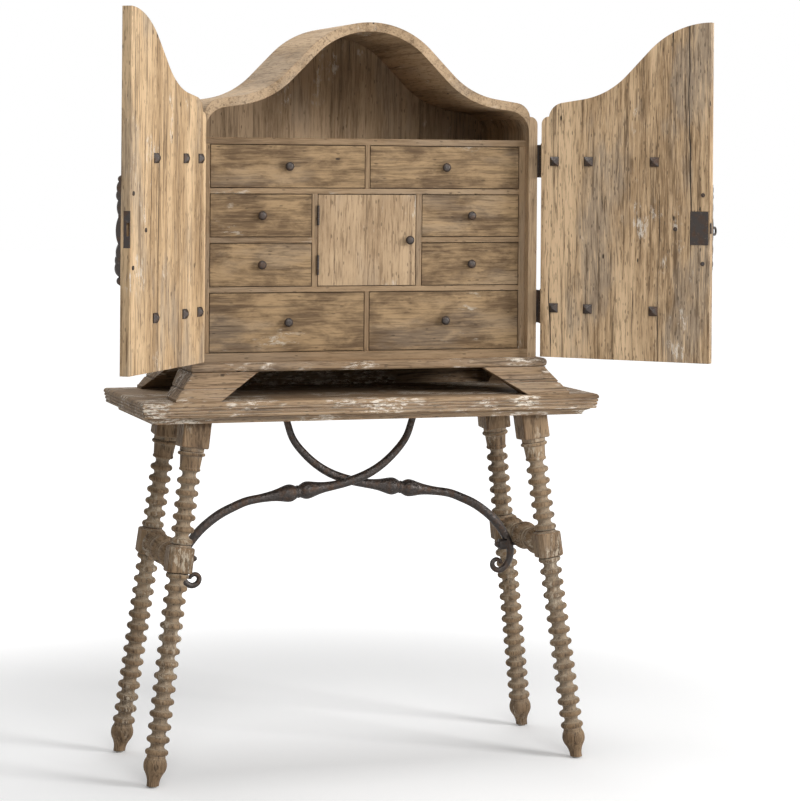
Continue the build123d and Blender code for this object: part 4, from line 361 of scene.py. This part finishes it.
def iron_material(name, finish, scale=150.0, depth=0.0016):
    """Waxed forged iron with hammer marks, brown bloom and brighter edges."""
    material, tree = new_tree(name)
    place = piece_place(tree)
    marks = add(tree, "ShaderNodeTexVoronoi", {"Vector": place, "Scale": scale, "Randomness": 1.0,
                                               "Smoothness": 0.6},
                feature="SMOOTH_F1").outputs["Distance"]
    grit = noise(tree, place, 900.0, 3.0, 0.6)
    bloom = noise(tree, place, 60.0, 4.0, 0.65)
    edges, rounded = edge_mask(tree, 0.0012)
    base = blend_colour(tree, ramp(tree, bloom, 0.45, 0.65), tuple(finish.base), tuple(finish.rust))
    rubbed = math_node(tree, "MAXIMUM", math_node(tree, "MULTIPLY", edges, 0.4),
                       ramp(tree, noise(tree, place, 240.0, 3.0, 0.7), 0.58, 0.7, 0.0, 0.35))
    base = blend_colour(tree, rubbed, base, RUBBED_IRON)
    height = math_node(tree, "ADD", math_node(tree, "MULTIPLY", marks, finish.hammer),
                       math_node(tree, "MULTIPLY", grit, 0.12))
    roughness = ramp(tree, bloom, 0.3, 0.7, finish.roughness - 0.12, finish.roughness + 0.18)
    finish_material(tree, base, roughness, height, depth, rounded, metallic=0.7)
    return material


def glide_material(name):
    """Pale grey plastic of the floor glides."""
    material, tree = new_tree(name)
    place = piece_place(tree)
    scuff = noise(tree, place, 300.0, 3.0, 0.6)
    base = blend_colour(tree, ramp(tree, scuff, 0.4, 0.7), PLASTIC, PLASTIC_SCUFF)
    finish_material(tree, base, ramp(tree, scuff, 0.3, 0.7, 0.45, 0.6), scuff, 0.0002)
    return material


def dress(names, material):
    """Give CAD nodes a material through their objects' slots."""
    for name in names:
        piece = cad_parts[name]
        for slot in piece.material_slots:
            slot.link = "OBJECT"
            slot.material = material


def nodes_named(*starts):
    return [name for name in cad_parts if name.startswith(starts)]


# --- Operators ---------------------------------------------------------------------------------
class CABINET_OT_doors(Operator):
    """Finish the two outer doors"""
    bl_idname = "cabinet.doors"
    bl_label = "Outer doors"

    def execute(self, context):
        settings = context.scene.cabinet
        # The right door's copy of the door wood carries painted light for the grazing light on it.
        for name, wood, turn in (("door_left", settings.door, LEFT_DOOR_TURN),
                                 ("door_right", settings.right_door, RIGHT_DOOR_TURN)):
            dress([name], wood_material(name + "_oak", wood, "Z", turn=turn,
                                       edge_wear_and_shade=DOOR_WEAR))
        return {"FINISHED"}


class CABINET_OT_case(Operator):
    """Finish the case, the roof and the frame round the drawers"""
    bl_idname = "cabinet.case"
    bl_label = "Case"

    def execute(self, context):
        wood = context.scene.cabinet.case
        pale = context.scene.cabinet.shell
        dress(["case_side_left", "case_side_right"],
              wood_material("side_oak", pale, "Z", thin="X", edge_wear_and_shade=0.3))
        dress(["unit_sides", "uprights", "centre_dividers"],
              wood_material("unit_oak_upright", wood, "Z", thin="X"))
        dress(["back_panel"], wood_material("back_oak", pale, "Z"))
        level = wood_material("unit_oak_level", wood, "X", thin="Z")
        dress(["case_bottom", "unit_top", "shelf_upper", "shelf_lower", "short_shelves"], level)
        dress(["roof_arch"], wood_material("roof_oak", pale, "Y", thin="Z", edge_wear_and_shade=0.3))
        dress(["base_moulding", "bracket_feet"],
              wood_material("base_oak", context.scene.cabinet.base, "X", hollow=(0.012, 0.3),
                            edge_wear_and_shade=0.5))
        return {"FINISHED"}


class CABINET_OT_drawers(Operator):
    """Finish the drawers and the inner door"""
    bl_idname = "cabinet.drawers"
    bl_label = "Drawers"

    def execute(self, context):
        wood = context.scene.cabinet.drawer
        # Painted shadow lines along the edges, in place of the shade in the gaps round the drawers and
        # the inner door.
        line = {"edge": 0.0018, "edge_wear_and_shade": 0.85, "edge_colour": SHADOW_LINE}
        dress(nodes_named("drawer_"), wood_material("drawer_oak", wood, "X", **line))
        inner = context.scene.cabinet.inner_door
        dress(["inner_door"], wood_material("inner_door_oak", inner, "Z", **line))
        return {"FINISHED"}


class CABINET_OT_stand(Operator):
    """Finish the stand's top, legs, stretchers and glides"""
    bl_idname = "cabinet.stand"
    bl_label = "Stand"

    def execute(self, context):
        settings = context.scene.cabinet
        dress(["stand_top", "stand_moulding"],
              wood_material("stand_oak", settings.base, "X", thin="Z", hollow=(0.012, 0.45),
                            edge_wear_and_shade=0.9))
        # Lime in the hollows, rubbed edges and painted shade in tight creases.
        lime = {"hollow": (0.022, 1.0), "edge_wear_and_shade": 0.8, "crease_shade": 1.0}
        dress([name for name in nodes_named("leg_") if name != "leg_glides"],
              wood_material("turned_oak", settings.leg, "Z", **lime))
        dress(nodes_named("stretcher_"),
              wood_material("stretcher_oak", settings.leg, "Y", thin="X", **lime))
        dress(["leg_glides"], glide_material("glide_plastic"))
        return {"FINISHED"}


class CABINET_OT_ironwork(Operator):
    """Finish the braces, hinges, knobs and lock"""
    bl_idname = "cabinet.ironwork"
    bl_label = "Ironwork"

    def execute(self, context):
        iron = context.scene.cabinet.iron
        forged = iron_material("forged_iron", iron)
        small = iron_material("small_iron", iron, scale=320.0, depth=0.0004)
        dress(nodes_named("brace_"), forged)
        dress(nodes_named("knob_", "strap", "escutcheon_", "lock_", "key", "strike_", "inner_hinge_",
                          "case_hinge_", "inner_door_knob"), small)
        return {"FINISHED"}


FLOOR_SIZE = 60.0
CAMERA_PLACE = (-1.6685, -5.1276, 1.3074)   # from the case's centre line, its front and the floor
CAMERA_YAW = 17.84           # degrees towards the right
CAMERA_ROLL = 0.445
CAMERA_LENS = 112.2          # millimetres
CAMERA_SHIFT = (0.0468, -0.2973)
CAMERA_REACH = 100.0
FLOOR_SHADE = (0.84, 0.84, 0.84)     # paler dust on the floor
GLOW_REACH = (0.9, 2.6)      # distances at which the floor starts to fade and has turned white
LAMP_TARGET_LEVEL = 0.9
# Each lamp's angle from the front towards the right, its height angle, distance and size.
KEY_LAMP = (48.0, 16.0, 4.2, 1.3)
HIGH_LAMP = (-8.0, 36.0, 4.5, 2.4)
TOP_LAMP = (180.0, 82.0, 3.0, 1.8)


def add_lamp(name, setting, power):
    """Square soft lamp that looks at the middle of the cabinet."""
    azimuth, rise, distance, size = setting
    azimuth, rise = math.radians(azimuth), math.radians(rise)
    reach = Vector((math.sin(azimuth) * math.cos(rise), -math.cos(azimuth) * math.cos(rise),
                    math.sin(rise)))
    target = Vector((CENTRE_X, FRONT_Y, LAMP_TARGET_LEVEL))
    data = bpy.data.lights.new(name, "AREA")
    data.shape = "SQUARE"
    data.size = size
    data.energy = power
    lamp = bpy.data.objects.new(name, data)
    bpy.context.scene.collection.objects.link(lamp)
    turn = (-reach).to_track_quat("-Z", "Y").to_matrix().to_4x4()
    lamp.matrix_world = Matrix.Translation(target + reach * distance) @ turn


def seen_ray(tree):
    """1 for rays that show the background itself: straight, mirrored or through glass."""
    path = add(tree, "ShaderNodeLightPath").outputs
    shown = math_node(tree, "MAXIMUM", path["Is Camera Ray"], path["Is Glossy Ray"])
    return math_node(tree, "MAXIMUM", shown, path["Is Transmission Ray"])


def floor_material(settings):
    """Pale floor that keeps the soft shadow near the piece and fades to white further out."""
    material, tree = new_tree("stage_floor")
    place = add(tree, "ShaderNodeTexCoord").outputs["Object"]
    away = add(tree, "ShaderNodeVectorMath", {0: place}, operation="LENGTH").outputs["Value"]
    dust = noise(tree, place, 3.0, 2.0)
    tone = blend_colour(tree, ramp(tree, dust, 0.3, 0.7, 0.0, 0.02), tuple(settings.floor),
                        FLOOR_SHADE)
    matt = add(tree, "ShaderNodeBsdfDiffuse", {"Color": tone}).outputs[0]
    light = ramp(tree, away, *GLOW_REACH, settings.glow, 1.0)
    glow = add(tree, "ShaderNodeEmission", {"Color": (1.0, 1.0, 1.0, 1.0),
                                            "Strength": math_node(tree, "MULTIPLY", seen_ray(tree),
                                                                  light)}).outputs[0]
    both = add(tree, "ShaderNodeAddShader", {0: matt, 1: glow}).outputs[0]
    add(tree, "ShaderNodeOutputMaterial", {"Surface": both})
    return material


def build_world(settings):
    """Surroundings that look white and light the piece faintly from all round."""
    world = bpy.data.worlds.new("studio")
    world.use_nodes = True
    tree = world.node_tree
    tree.nodes.clear()
    strength = ramp(tree, seen_ray(tree), 0.0, 1.0, settings.ambient, 1.0)
    sky = add(tree, "ShaderNodeBackground", {"Color": (1.0, 1.0, 1.0, 1.0), "Strength": strength})
    add(tree, "ShaderNodeOutputWorld", {"Surface": sky.outputs[0]})
    bpy.context.scene.world = world


def build_camera():
    """Camera with upright lines kept parallel by a lens shift."""
    data = bpy.data.cameras.new("camera")
    data.lens = CAMERA_LENS
    data.shift_x, data.shift_y = CAMERA_SHIFT
    data.clip_end = CAMERA_REACH
    camera = bpy.data.objects.new("camera", data)
    bpy.context.scene.collection.objects.link(camera)
    yaw, roll = math.radians(CAMERA_YAW), math.radians(CAMERA_ROLL)
    side = Vector((math.cos(yaw), -math.sin(yaw), 0.0))
    ahead = Vector((math.sin(yaw), math.cos(yaw), 0.0))
    up = Vector((0.0, 0.0, 1.0))
    right = side * math.cos(roll) + up * math.sin(roll)
    top = up * math.cos(roll) - side * math.sin(roll)
    turn = Matrix((right, top, -ahead)).transposed().to_4x4()
    place = Vector((CENTRE_X + CAMERA_PLACE[0], FRONT_Y + CAMERA_PLACE[1], CAMERA_PLACE[2]))
    camera.matrix_world = Matrix.Translation(place) @ turn
    bpy.context.scene.camera = camera


class CABINET_OT_stage(Operator):
    """Add the floor, the lights and the camera"""
    bl_idname = "cabinet.stage"
    bl_label = "Stage"

    def execute(self, context):
        settings = context.scene.cabinet.stage
        half = FLOOR_SIZE / 2
        mesh = bpy.data.meshes.new("floor")
        mesh.from_pydata([(-half, -half, 0), (half, -half, 0), (half, half, 0), (-half, half, 0)], [],
                         [(0, 1, 2, 3)])
        floor = bpy.data.objects.new("floor", mesh)
        context.scene.collection.objects.link(floor)
        floor.data.materials.append(floor_material(settings))
        build_world(settings)
        add_lamp("key_lamp", KEY_LAMP, settings.key)
        add_lamp("high_lamp", HIGH_LAMP, settings.high)
        add_lamp("top_lamp", TOP_LAMP, settings.top)
        build_camera()
        context.scene.view_settings.view_transform = "Standard"
        return {"FINISHED"}


OPERATORS = (CABINET_OT_doors, CABINET_OT_case, CABINET_OT_drawers, CABINET_OT_stand,
             CABINET_OT_ironwork, CABINET_OT_stage)


class CABINET_PT_panel(Panel):
    """Buttons that finish the cabinet piece by piece"""
    bl_idname = "CABINET_PT_panel"
    bl_label = "Cabinet on Stand"
    bl_space_type = "VIEW_3D"
    bl_region_type = "UI"
    bl_category = "Cabinet"

    def draw(self, context):
        for operator in OPERATORS:
            self.layout.operator(operator.bl_idname)


SETTINGS = (DoorWood, RightDoorWood, ShellWood, InnerDoorWood, CaseWood, DrawerWood, BaseWood, LegWood,
            IronSettings, StageSettings, CabinetSettings)


def register():
    for item in (*SETTINGS, *OPERATORS, CABINET_PT_panel):
        bpy.utils.register_class(item)
    bpy.types.Scene.cabinet = PointerProperty(type=CabinetSettings)


def unregister():
    del bpy.types.Scene.cabinet
    for item in reversed((*SETTINGS, *OPERATORS, CABINET_PT_panel)):
        bpy.utils.unregister_class(item)


def main():
    register()
    bpy.ops.cabinet.doors()
    bpy.ops.cabinet.case()
    bpy.ops.cabinet.drawers()
    bpy.ops.cabinet.stand()
    bpy.ops.cabinet.ironwork()
    bpy.ops.cabinet.stage()


if __name__ == "__main__":
    main()
